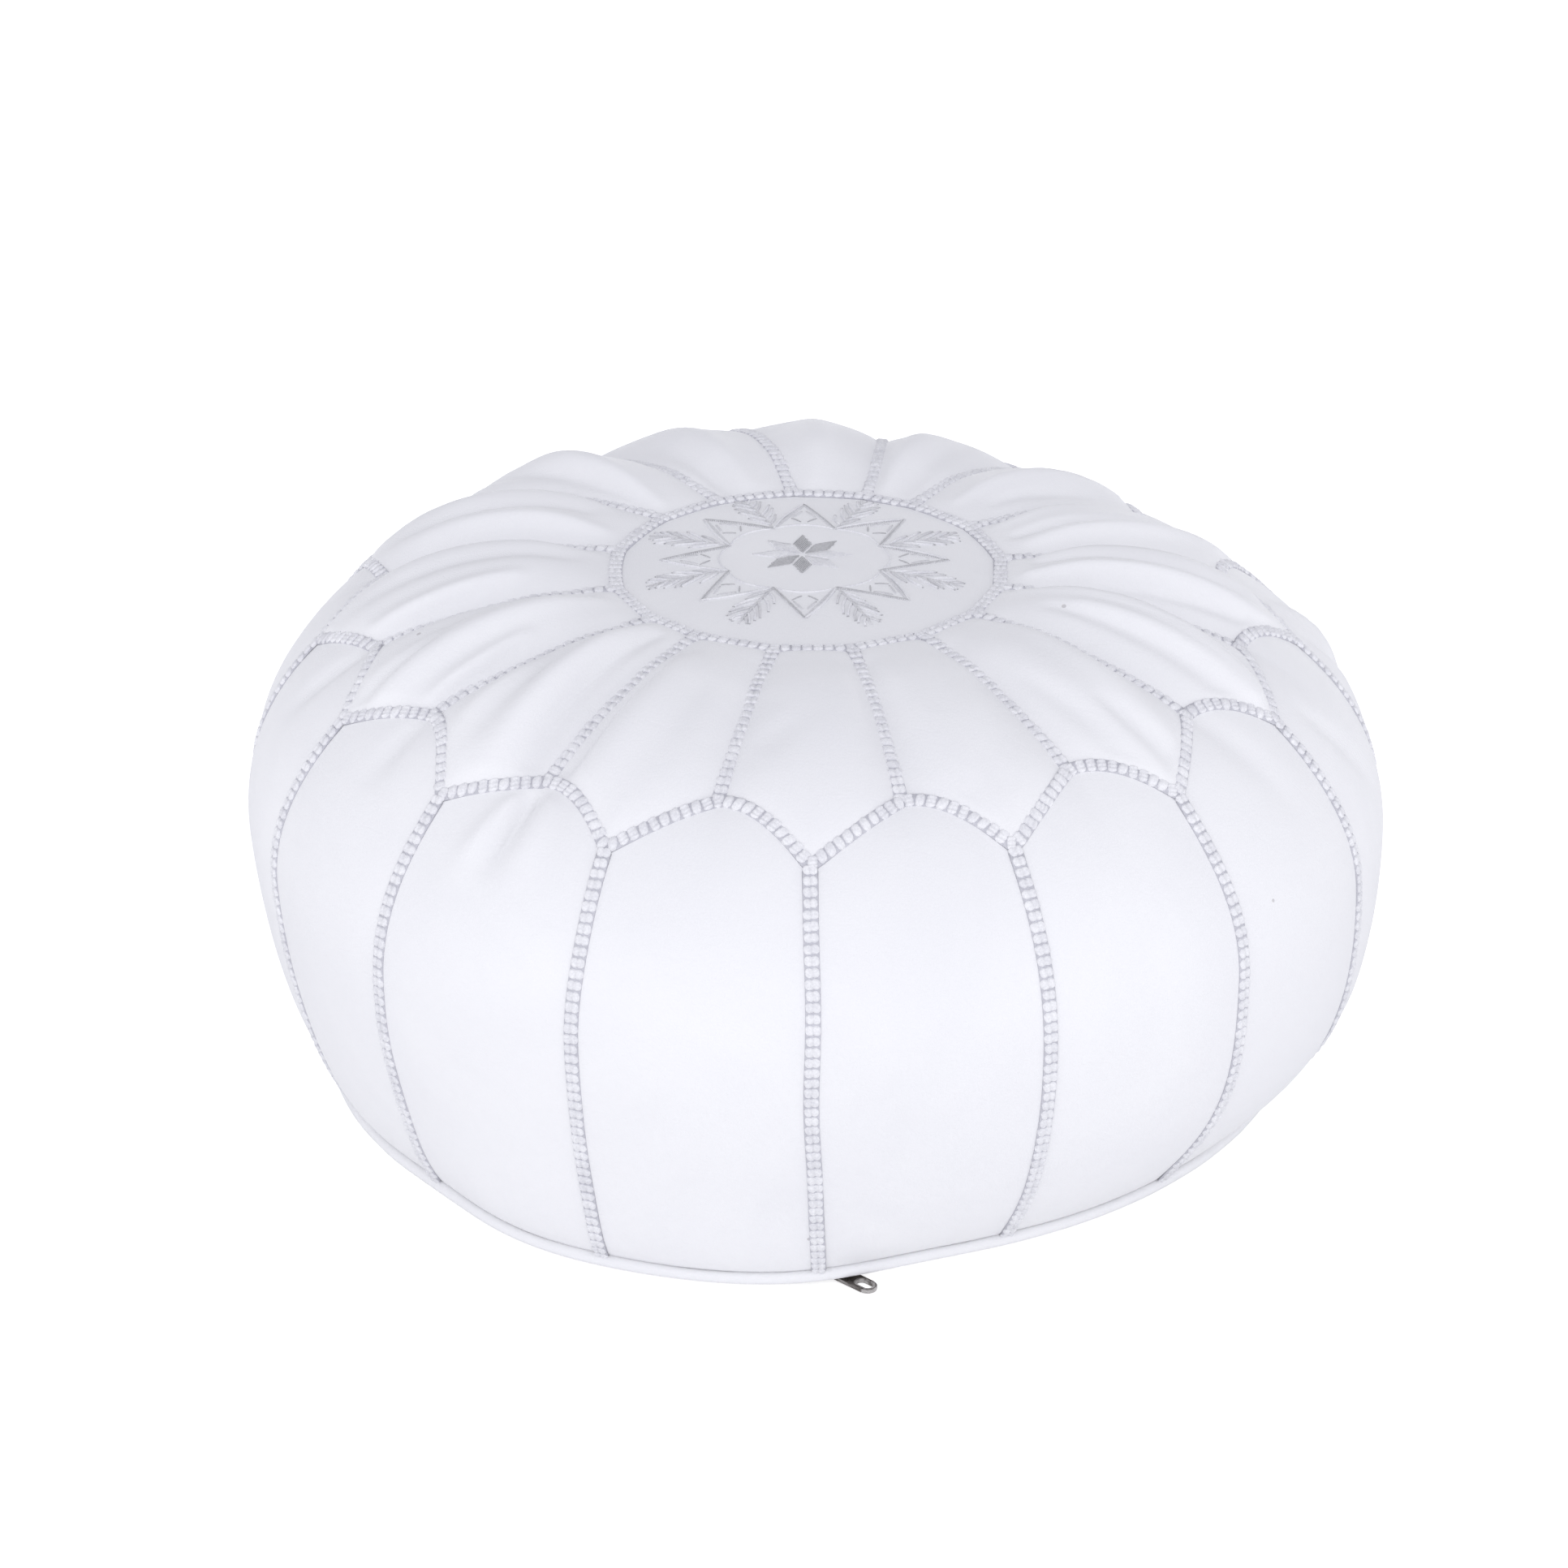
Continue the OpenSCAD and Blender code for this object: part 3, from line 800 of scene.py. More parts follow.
class Swatches:
    """Every finish's material, made once."""

    def __init__(self) -> None:
        """Builds all the materials."""
        effects = Effects()
        finishes = {
            Dye.LEATHER: Leather("white_leather"),
            Dye.BASE_LEATHER: Leather(
                "base_leather", light=(0.88, 0.87, 0.86, 1.0), dark=(0.80, 0.79, 0.78, 1.0)
            ),
            Dye.WHITE_THREAD: Thread("white_thread"),
            Dye.GREY_THREAD: Thread(
                "grey_thread", light=(0.60, 0.60, 0.61, 1.0), dark=(0.44, 0.44, 0.45, 1.0)
            ),
            # Dark grey finish of the braids' beds: painted shade in the gaps between and beside the clusters.
            Dye.SHADOW_THREAD: Thread(
                "shadow_thread",
                light=(0.64, 0.64, 0.68, 1.0),
                dark=(0.54, 0.54, 0.58, 1.0),
                roughness=0.7,
                sheen=0.0,
            ),
            Dye.PALE_THREAD: Thread(
                "pale_thread", light=(0.78, 0.78, 0.79, 1.0), dark=(0.62, 0.62, 0.64, 1.0)
            ),
            Dye.METAL: Gunmetal("gunmetal"),
            Dye.TAPE: WovenTape("twill_tape"),
            Dye.WADDING: Wadding("cotton_wadding"),
        }
        self.materials = {dye: finish.material(effects) for dye, finish in finishes.items()}

    def dress(self, piece: bpy.types.Object, dye: Dye) -> None:
        """Gives a piece one finish all over, whatever slots it has."""
        if not piece.data.materials:
            piece.data.materials.append(self.materials[dye])
        for number in range(len(piece.material_slots)):
            piece.material_slots[number].material = self.materials[dye]

    def __getitem__(self, dye: Dye) -> bpy.types.Material:
        """The material of a finish."""
        return self.materials[dye]


# ---------------------------------------------------------------------------------------------
# Stitches along a path


@dataclass
class StitchBlock:
    """One needlework cluster: threads laid side by side across the seam and drawn tight into a bead.

    The span is along the seam and the length across it. The block is pinched between its lobes by
    its waist, a share of its height, each thread is parted from the next by the groove, and the
    skirt goes down into the leather.
    """

    span: float = 4.55 * MM
    length: float = 7.0 * MM
    height: float = 1.15 * MM
    skirt: float = 0.9 * MM
    lobes: int = 2
    threads: int = 4
    groove: float = 0.24 * MM
    waist: float = 0.6
    slant: float = 0.4 * MM

    def build(self, name: str) -> bpy.types.Object:
        """Makes the cluster's mesh: X along the seam, Y across it, Z off the leather."""
        columns, rows = 2 * self.threads + 1, 4 * self.lobes + 1
        x, y = np.meshgrid(graded(columns, 0.5), graded(rows, 0.4))
        lobe = np.abs(np.sin(math.pi * self.lobes * (y + 1) / 2)) ** 0.8
        pinch = 1 - self.waist * (1 - lobe)
        dome = np.sqrt((1 - np.abs(x) ** 4) * (1 - np.abs(y) ** 6))
        z = self.height * dome * pinch - self.groove * (np.arange(columns) % 2 == 0)[None, :]
        narrow = (1 - 0.3 * self.waist * (1 - lobe)) * (1 - 0.22 * y**6)
        along = x * narrow * self.span / 2 + self.slant * y / 2
        top = np.stack([along, y * (1 - 0.1 * x**4) * self.length / 2, z], axis=-1)
        points = np.concatenate([top.reshape(-1, 3), top.reshape(-1, 3) * [1, 1, 0] - [0, 0, self.skirt]])
        rim = block_rim(rows, columns)
        below = rows * columns
        faces = grid_faces(rows, columns, flip=True)
        faces += [(b, a, a + below, b + below) for a, b in zip(rim, rim[1:] + rim[:1])]
        faces.append(tuple(a + below for a in reversed(rim)))
        used = sorted({i for face in faces for i in face})
        renumber = {old: new for new, old in enumerate(used)}
        return new_piece(name, points[used], [tuple(renumber[i] for i in face) for face in faces])


class StitchLayer:
    """Lays stitch clusters along paths with one Geometry Nodes tree."""

    TURN_SHARE = 0.9

    def __init__(self) -> None:
        """Builds the tree."""
        tree = bpy.data.node_groups.new("lay_stitches", "GeometryNodeTree")
        sockets = (
            ("Geometry", "NodeSocketGeometry"),
            ("Stitch", "NodeSocketObject"),
            ("Second Stitch", "NodeSocketObject"),
            ("Pitch", "NodeSocketFloat"),
            ("Size", "NodeSocketVector"),
            ("Slant", "NodeSocketFloat"),
            ("Unevenness", "NodeSocketFloat"),
            ("Seed", "NodeSocketInt"),
            ("Thread", "NodeSocketMaterial"),
        )
        for label, kind in sockets:
            tree.interface.new_socket(label, in_out="INPUT", socket_type=kind)
        tree.interface.new_socket("Geometry", in_out="OUTPUT", socket_type="NodeSocketGeometry")
        w = Wiring(tree)
        given = w.add("NodeGroupInput").outputs
        path = w.add("GeometryNodeMeshToCurve", {"Mesh": given["Geometry"]}).outputs[0]
        steps = {"Curve": path, "Length": given["Pitch"]}
        even = w.add("GeometryNodeResampleCurve", steps, mode="LENGTH").outputs[0]
        up = w.add("GeometryNodeInputNamedAttribute", {"Name": "up"}, data_type="FLOAT_VECTOR").outputs[0]
        along = w.add("GeometryNodeInputTangent").outputs[0]
        facing = w.add(
            "FunctionNodeAxesToRotation",
            {"Primary Axis": up, "Secondary Axis": along},
            primary_axis="Z",
            secondary_axis="X",
        ).outputs[0]
        low = w.maths("MULTIPLY", given["Unevenness"], -self.TURN_SHARE)
        high = w.maths("MULTIPLY", given["Unevenness"], self.TURN_SHARE)
        turn = w.add(
            "FunctionNodeRandomValue", {2: low, 3: high, "Seed": given["Seed"]}, data_type="FLOAT"
        ).outputs[1]
        yaw = w.add("ShaderNodeCombineXYZ", {2: w.maths("ADD", given["Slant"], turn)}).outputs[0]
        spin = w.add("FunctionNodeEulerToRotation", {0: yaw}).outputs[0]
        turned = w.add("FunctionNodeRotateRotation", {0: facing, 1: spin}, rotation_space="LOCAL").outputs[0]
        least = w.maths("SUBTRACT", 1.0, given["Unevenness"])
        most = w.maths("ADD", 1.0, given["Unevenness"])
        small = w.add("ShaderNodeCombineXYZ", {0: least, 1: least, 2: least}).outputs[0]
        large = w.add("ShaderNodeCombineXYZ", {0: most, 1: most, 2: most}).outputs[0]
        scatter = w.add(
            "FunctionNodeRandomValue", {0: small, 1: large, "Seed": given["Seed"]}, data_type="FLOAT_VECTOR"
        ).outputs[0]
        size = w.add("ShaderNodeVectorMath", {0: scatter, 1: given["Size"]}, operation="MULTIPLY").outputs[0]
        templates = [
            w.add("GeometryNodeObjectInfo", {"Object": given[label], "As Instance": True})
            for label in ("Stitch", "Second Stitch")
        ]
        pair = w.add("GeometryNodeJoinGeometry")
        for template in templates:
            tree.links.new(template.outputs["Geometry"], pair.inputs[0])
        pick = w.add(
            "FunctionNodeRandomValue", {4: 0, 5: 1, "Seed": given["Seed"]}, data_type="INT"
        ).outputs[2]
        laid = w.add(
            "GeometryNodeInstanceOnPoints",
            {
                "Points": even,
                "Instance": pair.outputs[0],
                "Pick Instance": True,
                "Instance Index": pick,
                "Rotation": turned,
                "Scale": size,
            },
        ).outputs[0]
        real = w.add("GeometryNodeRealizeInstances", {0: laid}).outputs[0]
        dyed = w.add("GeometryNodeSetMaterial", {"Geometry": real, "Material": given["Thread"]}).outputs[0]
        w.add("NodeGroupOutput", {0: dyed})
        self.tree = tree

    def lay(
        self,
        name: str,
        paths: list[tuple[np.ndarray, np.ndarray, bool]],
        stitches: tuple[bpy.types.Object, bpy.types.Object],
        thread: bpy.types.Material,
        pitch: float,
        size: tuple = (1.0, 1.0, 1.0),
        slant: float = 0.0,
        unevenness: float = 0.06,
        seed: int = 1,
    ) -> bpy.types.Object:
        """Lays clusters along paths.

        Args:
            name: The new piece's name.
            paths: For each path its points, its normals and whether it closes on itself.
            stitches: Two cluster meshes to pick from.
            thread: The thread's material.
            pitch: From one cluster to the next, in metres.
            size: Scale of a cluster along, across and off the seam.
            slant: Turn of each cluster about its normal, in radians.
            unevenness: Spread of their size and turn.
            seed: Seed of that spread.

        Returns:
            A plain mesh object.
        """
        points, ups, edges = [], [], []
        for line, normals, closed in paths:
            first = len(points)
            points.extend(line)
            ups.extend(normals)
            edges += [(first + i, first + i + 1) for i in range(len(line) - 1)]
            if closed:
                edges.append((first + len(line) - 1, first))
        guide = new_piece(f"{name}_guide", np.array(points), edges)
        up = guide.data.attributes.new("up", "FLOAT_VECTOR", "POINT")
        up.data.foreach_set("vector", np.asarray(ups, np.float32).ravel())
        modifier = guide.modifiers.new("stitches", "NODES")
        modifier.node_group = self.tree
        values = {
            "Stitch": stitches[0],
            "Second Stitch": stitches[1],
            "Pitch": pitch,
            "Size": size,
            "Slant": slant,
            "Unevenness": unevenness,
            "Seed": seed,
            "Thread": thread,
        }
        for item in self.tree.interface.items_tree:
            if item.in_out == "INPUT" and item.name in values:
                modifier[item.identifier] = values[item.name]
        bpy.context.view_layer.update()
        ready = guide.evaluated_get(bpy.context.evaluated_depsgraph_get())
        mesh = bpy.data.meshes.new_from_object(ready)
        mesh.name = name
        bpy.data.objects.remove(guide)
        piece = bpy.data.objects.new(name, mesh)
        bpy.context.scene.collection.objects.link(piece)
        return piece


def join(name: str, pieces: list[bpy.types.Object]) -> bpy.types.Object:
    """Joins meshes into one piece, with their materials kept."""
    chosen = {key: pieces for key in ("selected_editable_objects", "selected_objects")}
    with bpy.context.temp_override(active_object=pieces[0], **chosen):
        bpy.ops.object.join()
    pieces[0].name = name
    pieces[0].data.name = name
    return pieces[0]


def ribbon(name: str, paths: list, width: float, lift: float, thickness: float) -> bpy.types.Object:
    """Makes closed flat strips along paths, a little narrower above than below.

    Args:
        name: The new piece's name.
        paths: Points, normals and whether each path closes on itself.
        width: The strips' width, in metres.
        lift: How far their undersides stand off the path.
        thickness: Their thickness.

    Returns:
        The new object.
    """
    points, faces = [], []
    for line, normals, closed in paths:
        along = np.gradient(line, axis=0)
        if closed:
            along = (np.roll(line, -1, axis=0) - np.roll(line, 1, axis=0)) / 2
        side = np.cross(normals, along)
        side /= np.linalg.norm(side, axis=1, keepdims=True)
        first, count = len(points), len(line)
        for p, n, s in zip(line, normals, side):
            low, high = p + n * lift, p + n * (lift + thickness)
            foot, top = s * width / 2, s * width * 0.42
            points += [low - foot, high - top, high + top, low + foot]
        spans = count if closed else count - 1
        for i in range(spans):
            a, b = first + 4 * i, first + 4 * ((i + 1) % count)
            for c in range(4):
                d = (c + 1) % 4
                faces.append((a + c, a + d, b + d, b + c))
        if not closed:
            last = first + 4 * (count - 1)
            faces += [(first + 3, first + 2, first + 1, first), (last, last + 1, last + 2, last + 3)]
    return new_piece(name, np.array(points), faces)


# ---------------------------------------------------------------------------------------------
# The leather cover


@dataclass(frozen=True)
class Fold:
    """A soft ridge or crease pressed into a panel.

    Places are across (-1..1) and along (0..1) the panel. Its width and height are in millimetres; a
    negative height makes a crease.
    """

    start: tuple[float, float]
    end: tuple[float, float]
    width: float
    height: float


PETAL_FOLDS: dict[int, tuple[Fold, ...]] = {
    0: (Fold((-0.2, 0.5), (-0.7, 0.75), 9, -0.8), Fold((0.6, 0.2), (0.5, 0.7), 10, 0.8)),
    1: (Fold((0.3, 0.6), (-0.3, 0.95), 10, -0.8), Fold((-0.6, 0.1), (-0.5, 0.8), 9, 0.8)),
    2: (
        Fold((0.55, 0.1), (0.35, 0.9), 8, 1.6),
        Fold((0.0, 0.62), (0.2, 0.98), 6, -1.8),
        Fold((-0.55, 0.5), (-0.3, 0.95), 7, -1.2),
    ),
    3: (
        Fold((0.45, 0.1), (0.1, 0.95), 6, 2.4),
        Fold((0.75, 0.25), (0.45, 0.98), 5, -2.4),
        Fold((-0.3, 0.25), (-0.35, 0.95), 6, -2.2),
        Fold((-0.05, 0.3), (-0.1, 0.98), 5, 1.4),
    ),
    4: (
        Fold((-0.45, 0.1), (-0.2, 0.95), 5, 2.4),
        Fold((0.1, 0.12), (0.15, 0.9), 4.5, -2.4),
        Fold((0.5, 0.15), (0.45, 0.95), 5, 2.2),
        Fold((-0.75, 0.4), (-0.5, 0.98), 4, -1.8),
    ),
    5: (
        Fold((-0.2, 0.1), (0.35, 0.9), 5, -3.2),
        Fold((-0.55, 0.15), (-0.15, 0.95), 6, 2.2),
        Fold((0.5, 0.1), (0.7, 0.8), 6, 2.0),
    ),
    6: (Fold((0.1, 0.1), (-0.2, 0.9), 7, 2.0), Fold((-0.5, 0.2), (-0.6, 0.85), 6, -1.8)),
    7: (Fold((0.3, 0.1), (0.3, 0.6), 9, 2.0), Fold((-0.5, 0.1), (-0.3, 0.7), 8, -1.4)),
    8: (Fold((0.0, 0.1), (0.1, 0.6), 12, 2.2),),
    9: (Fold((-0.2, 0.1), (0.1, 0.7), 10, 2.0), Fold((0.55, 0.05), (0.6, 0.6), 7, -1.6)),
    10: (Fold((0.3, 0.1), (-0.2, 0.8), 8, 2.2), Fold((0.7, 0.15), (0.3, 0.9), 6, -2.0)),
    11: (
        Fold((-0.2, 0.2), (0.3, 0.9), 7, -2.6),
        Fold((0.3, 0.1), (0.6, 0.8), 7, 2.2),
        Fold((-0.6, 0.2), (-0.2, 0.95), 6, 1.6),
    ),
    12: (
        Fold((-0.1, 0.15), (0.1, 0.9), 7, -1.8),
        Fold((0.55, 0.35), (0.8, 0.98), 6, 3.0),
        Fold((-0.5, 0.1), (-0.4, 0.8), 7, 1.6),
    ),
    13: (
        Fold((-0.55, 0.15), (-0.3, 0.85), 7, -2.0),
        Fold((0.1, 0.1), (0.3, 0.95), 8, 2.0),
        Fold((0.6, 0.45), (0.85, 0.95), 5, 2.8),
        Fold((-0.1, 0.6), (0.1, 0.98), 5, -1.8),
    ),
    14: (
        Fold((0.35, 0.12), (0.72, 0.9), 6, -3.0),
        Fold((-0.05, 0.1), (0.3, 0.9), 8, 2.6),
        Fold((-0.5, 0.2), (-0.15, 0.8), 6, -1.6),
        Fold((-0.5, 0.55), (-0.4, 0.95), 7, 1.6),
    ),
    15: (
        Fold((-0.75, 0.3), (-0.85, 0.97), 5, -3.0),
        Fold((-0.35, 0.25), (-0.45, 0.95), 11, 2.2),
        Fold((0.3, 0.3), (0.1, 0.8), 9, -0.8),
    ),
}
PANEL_FOLDS: dict[int, tuple[Fold, ...]] = {
    14: (
        Fold((0.0, 0.0), (-0.1, 0.2), 5, -3.2),
        Fold((-0.18, 0.02), (-0.35, 0.2), 6, 1.8),
        Fold((0.2, 0.02), (0.25, 0.2), 7, 1.6),
    ),
    2: (Fold((0.1, 0.03), (0.25, 0.25), 9, -0.9),),
    3: (Fold((-0.5, 0.1), (-0.1, 0.35), 7, -1.4),),
    4: (Fold((-0.6, 0.1), (0.1, 0.4), 5, -2.0), Fold((-0.3, 0.05), (0.3, 0.35), 6, 1.8)),
    12: (Fold((0.1, 0.02), (0.0, 0.2), 6, -1.6),),
    13: (Fold((0.0, 0.02), (0.1, 0.15), 6, -1.2),),
}


@dataclass
class LeatherCover:
    """The sixteen top petals and the sixteen side panels, stuffed and puckered.

    Each panel is cut a little larger than its place, sewn down along its seams and blown out by
    the wadding, so the spare leather gathers in soft folds. The pressed folds are added to that. Both
    fade out towards the seams, between the two distances of tuck_gap.
    """

    shape: PoufShape
    columns: int = 17
    petal_rows: int = 25
    panel_rows: int = 37
    petal_crown: float = 2.4 * MM
    panel_crown: float = 1.6 * MM
    slack_across: tuple = (
        1.015, 1.015, 1.03, 1.045, 1.05, 1.05, 1.04, 1.03, 1.03, 1.03, 1.04, 1.045, 1.045, 1.045, 1.05, 1.03
    )
    panel_slack: float = 1.006
    slack_along: float = 1.01
    pressure: float = 4.0
    frames: int = 20
    cap: float = 6.0 * MM
    tuck_gap: tuple = (2.5 * MM, 10.0 * MM)
    fold_gain: float = 1.7

    def places(self, rows: int) -> tuple[np.ndarray, np.ndarray]:
        """Across and along places of a panel's block of points."""
        across = graded(self.columns, 0.55)
        along = (graded(rows, 0.35) + 1) / 2
        return np.meshgrid(across, along)

    def spots(self, petal: bool, index: int, u: np.ndarray, v: np.ndarray) -> np.ndarray:
        """Points of a panel before it is stuffed."""
        place = self.shape.petal_place if petal else self.shape.panel_place
        angle, arc = place(index, u, v)
        crown = self.petal_crown if petal else self.panel_crown
        puff = (1 - u**2) ** 0.8 * (1 - (2 * v - 1) ** 6) ** 0.7
        return self.shape.point(angle, arc, crown * puff - self.shape.seam_sink * (1 - puff))

    def build(self, swatches: Swatches) -> list[bpy.types.Object]:
        """Makes all the panels.

        Args:
            swatches: The finishes.

        Returns:
            The new pieces.
        """
        blocks = []
        for petal, rows in ((True, self.petal_rows), (False, self.panel_rows)):
            u, v = self.places(rows)
            for index in range(PANELS):
                blocks.append((petal, index, u, v, self.spots(petal, index, u, v)))
        moves = self.stuff(blocks)
        pieces = []
        for (petal, index, u, v, _), move in zip(blocks, moves):
            u, v, move = finer(u[..., None])[..., 0], finer(v[..., None])[..., 0], finer(move)
            u, v = np.clip(u, -1, 1), np.clip(v, 0, 1)
            grid = self.spots(petal, index, u, v)
            tuck = self.tuck(grid)
            grid = grid + move * tuck[..., None]
            grid = grid + grid_normals(grid) * (self.folds(petal, index, grid) * tuck)[..., None]
            stem = "top_petal" if petal else "side_panel"
            node = numbered(stem, index)
            piece = thick_sheet(f"leather_{node}", grid, self.shape.leather)
            swatches.dress(piece, Dye.LEATHER)
            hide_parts(node)
            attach(piece, "pouf")
            tell(piece)
            pieces.append(piece)
        return pieces

    def tuck(self, grid: np.ndarray) -> np.ndarray:
        """0 along a panel's seams, rising to 1 a little way inside them."""
        rim = np.concatenate([grid[0], grid[-1], grid[:, 0], grid[:, -1]])
        gap = np.full(grid.shape[:2], 1.0)
        for spot in rim:
            gap = np.minimum(gap, np.linalg.norm(grid - spot, axis=2))
        return soft_step(gap, *self.tuck_gap)

    def folds(self, petal: bool, index: int, grid: np.ndarray) -> np.ndarray:
        """Height of the pressed folds at each point, in metres."""
        height = np.zeros(grid.shape[:2])
        for fold in (PETAL_FOLDS if petal else PANEL_FOLDS).get(index, ()):
            steps = np.linspace(0, 1, 9)
            us = fold.start[0] + (fold.end[0] - fold.start[0]) * steps
            vs = fold.start[1] + (fold.end[1] - fold.start[1]) * steps
            spine = self.spots(petal, index, us, vs)
            a, b = spine[:-1], spine[1:]
            span = b - a
            t = np.einsum("rcsk,sk->rcs", grid[:, :, None, :] - a, span)
            t = np.clip(t / np.einsum("sk,sk->s", span, span), 0, 1)
            gap = np.linalg.norm(grid[:, :, None, :] - (a + t[..., None] * span), axis=3)
            closest = gap.argmin(axis=2)
            distance = np.take_along_axis(gap, closest[..., None], 2)[..., 0]
            along = (closest + np.take_along_axis(t, closest[..., None], 2)[..., 0]) / len(span)
            width = fold.width * MM * (0.6 + 0.5 * along)
            fade = np.sin(math.pi * np.clip(along * 0.86 + 0.07, 0, 1)) ** 0.7
            height += fold.height * MM * self.fold_gain * fade * np.exp(-((distance / width) ** 2))
        return height

    def rig(self, start: np.ndarray, faces: list, flat: np.ndarray, held: list) -> bpy.types.Object:
        """Makes the cloth that is blown out.

        Args:
            start: The points of all the panels before they are stuffed, in metres.
            faces: Their quads.
            flat: The points as the leather is cut.
            held: The indices of the points that are sewn down.

        Returns:
            The cloth, with its simulation set up.
        """
        skin = new_piece("cover_cloth", start, faces)
        skin.shape_key_add(name="Basis")
        cut = skin.shape_key_add(name="cut")
        cut.data.foreach_set("co", flat.astype(np.float32).ravel())
        cut.value = 0.0
        pins = skin.vertex_groups.new(name="seams")
        pins.add([int(i) for i in held], 1.0, "REPLACE")
        cloth = skin.modifiers.new("stuffing", "CLOTH")
        settings = cloth.settings
        settings.quality = 6
        settings.mass = 0.15
        settings.tension_stiffness = settings.compression_stiffness = 25.0
        settings.shear_stiffness = 12.0
        settings.bending_stiffness = 1.5
        settings.vertex_group_mass = "seams"
        settings.rest_shape_key = cut
        settings.use_pressure = True
        settings.uniform_pressure_force = self.pressure
        settings.effector_weights.gravity = 0.0
        cloth.collision_settings.use_collision = False
        cloth.point_cache.frame_start, cloth.point_cache.frame_end = 1, self.frames
        return skin

    def stuff(self, blocks: list) -> list[np.ndarray]:
        """Blows the panels out with Cloth.

        Args:
            blocks: Each panel's kind, index, across, along and points.

        Returns:
            How far each panel's points move, capped, in metres.
        """
        points, flat, faces, held = [], [], [], []
        for petal, index, u, _, grid in blocks:
            rows, columns = u.shape
            first = len(points)
            points.extend(grid.reshape(-1, 3))
            across = np.linalg.norm(np.diff(grid, axis=1), axis=2).sum(axis=1)[:, None]
            gone = np.linalg.norm(np.diff(grid, axis=0), axis=2).cumsum(axis=0)
            along = np.concatenate([np.zeros((1, columns)), gone])
            slack = self.slack_across[index] if petal else self.panel_slack
            cut = np.stack([u * across / 2 * slack, -along * self.slack_along, 0 * u], axis=-1)
            flat.extend(cut.reshape(-1, 3))
            faces += grid_faces(rows, columns, first)
            edge = np.zeros((rows, columns), bool)
            edge[[0, -1], :] = True
            edge[:, [0, -1]] = True
            held.extend(first + np.flatnonzero(edge.ravel()))
        start = np.array(points)
        skin = self.rig(start, faces, np.array(flat), held)
        for number in range(1, self.frames + 1):
            bpy.context.scene.frame_set(number)
        ready = skin.evaluated_get(bpy.context.evaluated_depsgraph_get())
        blown = np.zeros(len(start) * 3, np.float32)
        ready.data.vertices.foreach_get("co", blown)
        bpy.context.scene.frame_set(1)
        move = blown.reshape(-1, 3).astype(float) - start
        far = np.linalg.norm(move, axis=1, keepdims=True)
        LOG.info("stuffed: moved %.1f mm at most, %.1f mm on average", far.max() / MM, far.mean() / MM)
        move *= np.tanh(far / self.cap) * self.cap / np.maximum(far, 1e-9)
        bpy.data.objects.remove(skin)
        moves, first = [], 0
        for _, _, u, _, grid in blocks:
            moves.append(move[first : first + u.size].reshape(grid.shape))
            first += u.size
        return moves


# ---------------------------------------------------------------------------------------------
# Braids over the seams


class Seam(Enum):
    """The seams that carry a braid, by the CAD node that stands for each."""

    RING = "ring_braid"
    RADIAL = "radial_braids"
    ZIGZAG = "zigzag_braid"
    SIDE = "side_braids"


@dataclass
class Braids:
    """Bands of laid thread over the cover's seams, each on a darker bed whose grey is painted shade in the
    gaps between the clusters and along their edges.
    """

    shape: PoufShape
    pitch: float = 4.9 * MM
    width: float = 6.3 * MM
    lift: float = 1.35 * MM
    bed_width: float = 6.93 * MM
    bed_drop: float = 0.9 * MM
    bed_thickness: float = 0.85 * MM
    samples: int = 40
    first_seed: int = 21

    def paths(self, seam: Seam) -> list[tuple[np.ndarray, np.ndarray, bool]]:
        """The seam's lines on the leather.

        Args:
            seam: Which seam.

        Returns:
            Points, normals and whether each line is closed.
        """
        t = np.linspace(0, 1, self.samples)
        shape, made = self.shape, []
        if seam is Seam.RADIAL:
            for k in range(PANELS):
                inset = 0.03 + 0.955 * t
                angle, arc = shape.petal_place(k, np.ones_like(t), inset)
                made.append((angle, arc, False))
        elif seam is Seam.SIDE:
            for k in range(PANELS):
                angle, arc = shape.panel_place(k, -np.ones_like(t), 0.012 + 0.985 * t)
                made.append((angle, arc, False))
        else:
            angles, arcs = [], []
            for k in range(PANELS):
                across = np.linspace(-1, 1, self.samples)[:-1]
                angle, arc = shape.petal_place(k, across, np.full_like(across, float(seam is Seam.ZIGZAG)))
                angles.append(angle)
                arcs.append(arc)
            made.append((np.concatenate(angles), np.concatenate(arcs), True))
        return [
            (shape.point(angle, arc, self.lift - shape.seam_sink), shape.normal(angle, arc), closed)
            for angle, arc, closed in made
        ]

    def build(self, layer: StitchLayer, swatches: Swatches) -> list[bpy.types.Object]:
        """Makes the four braids.

        Args:
            layer: Lays the stitches.
            swatches: The finishes.

        Returns:
            The new pieces.
        """
        twin = StitchBlock().build("stitch_twin")
        twisted = StitchBlock(lobes=1, slant=1.4 * MM).build("stitch_twisted")
        triple = StitchBlock(lobes=3, threads=3, slant=0.6 * MM).build("stitch_triple")
        pairs = {
            Seam.RING: (triple, twin),
            Seam.RADIAL: (twisted, twin),
            Seam.ZIGZAG: (twisted, triple),
            Seam.SIDE: (twin, twin),
        }
        pieces = []
        for number, seam in enumerate(Seam):
            paths = self.paths(seam)
            # The bed is a dark strip under the clusters; its grey is painted shade that shows in the gaps
            # between them.
            bed = ribbon(f"{seam.value}_bed", paths, self.bed_width, -self.bed_drop, self.bed_thickness)
            swatches.dress(bed, Dye.SHADOW_THREAD)
            laid = layer.lay(
                f"thread_{seam.value}",
                paths,
                pairs[seam],
                swatches[Dye.WHITE_THREAD],
                self.pitch,
                size=(1.0, self.width / StitchBlock.length, 1.0),
                slant=0.12,
                unevenness=0.08,
                seed=self.first_seed + number,
            )
            piece = join(f"thread_{seam.value}", [laid, bed])
            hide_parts(seam.value)
            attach(piece, "pouf")
            tell(piece)
            pieces.append(piece)
        for template in (twin, twisted, triple):
            bpy.data.objects.remove(template)
        return pieces


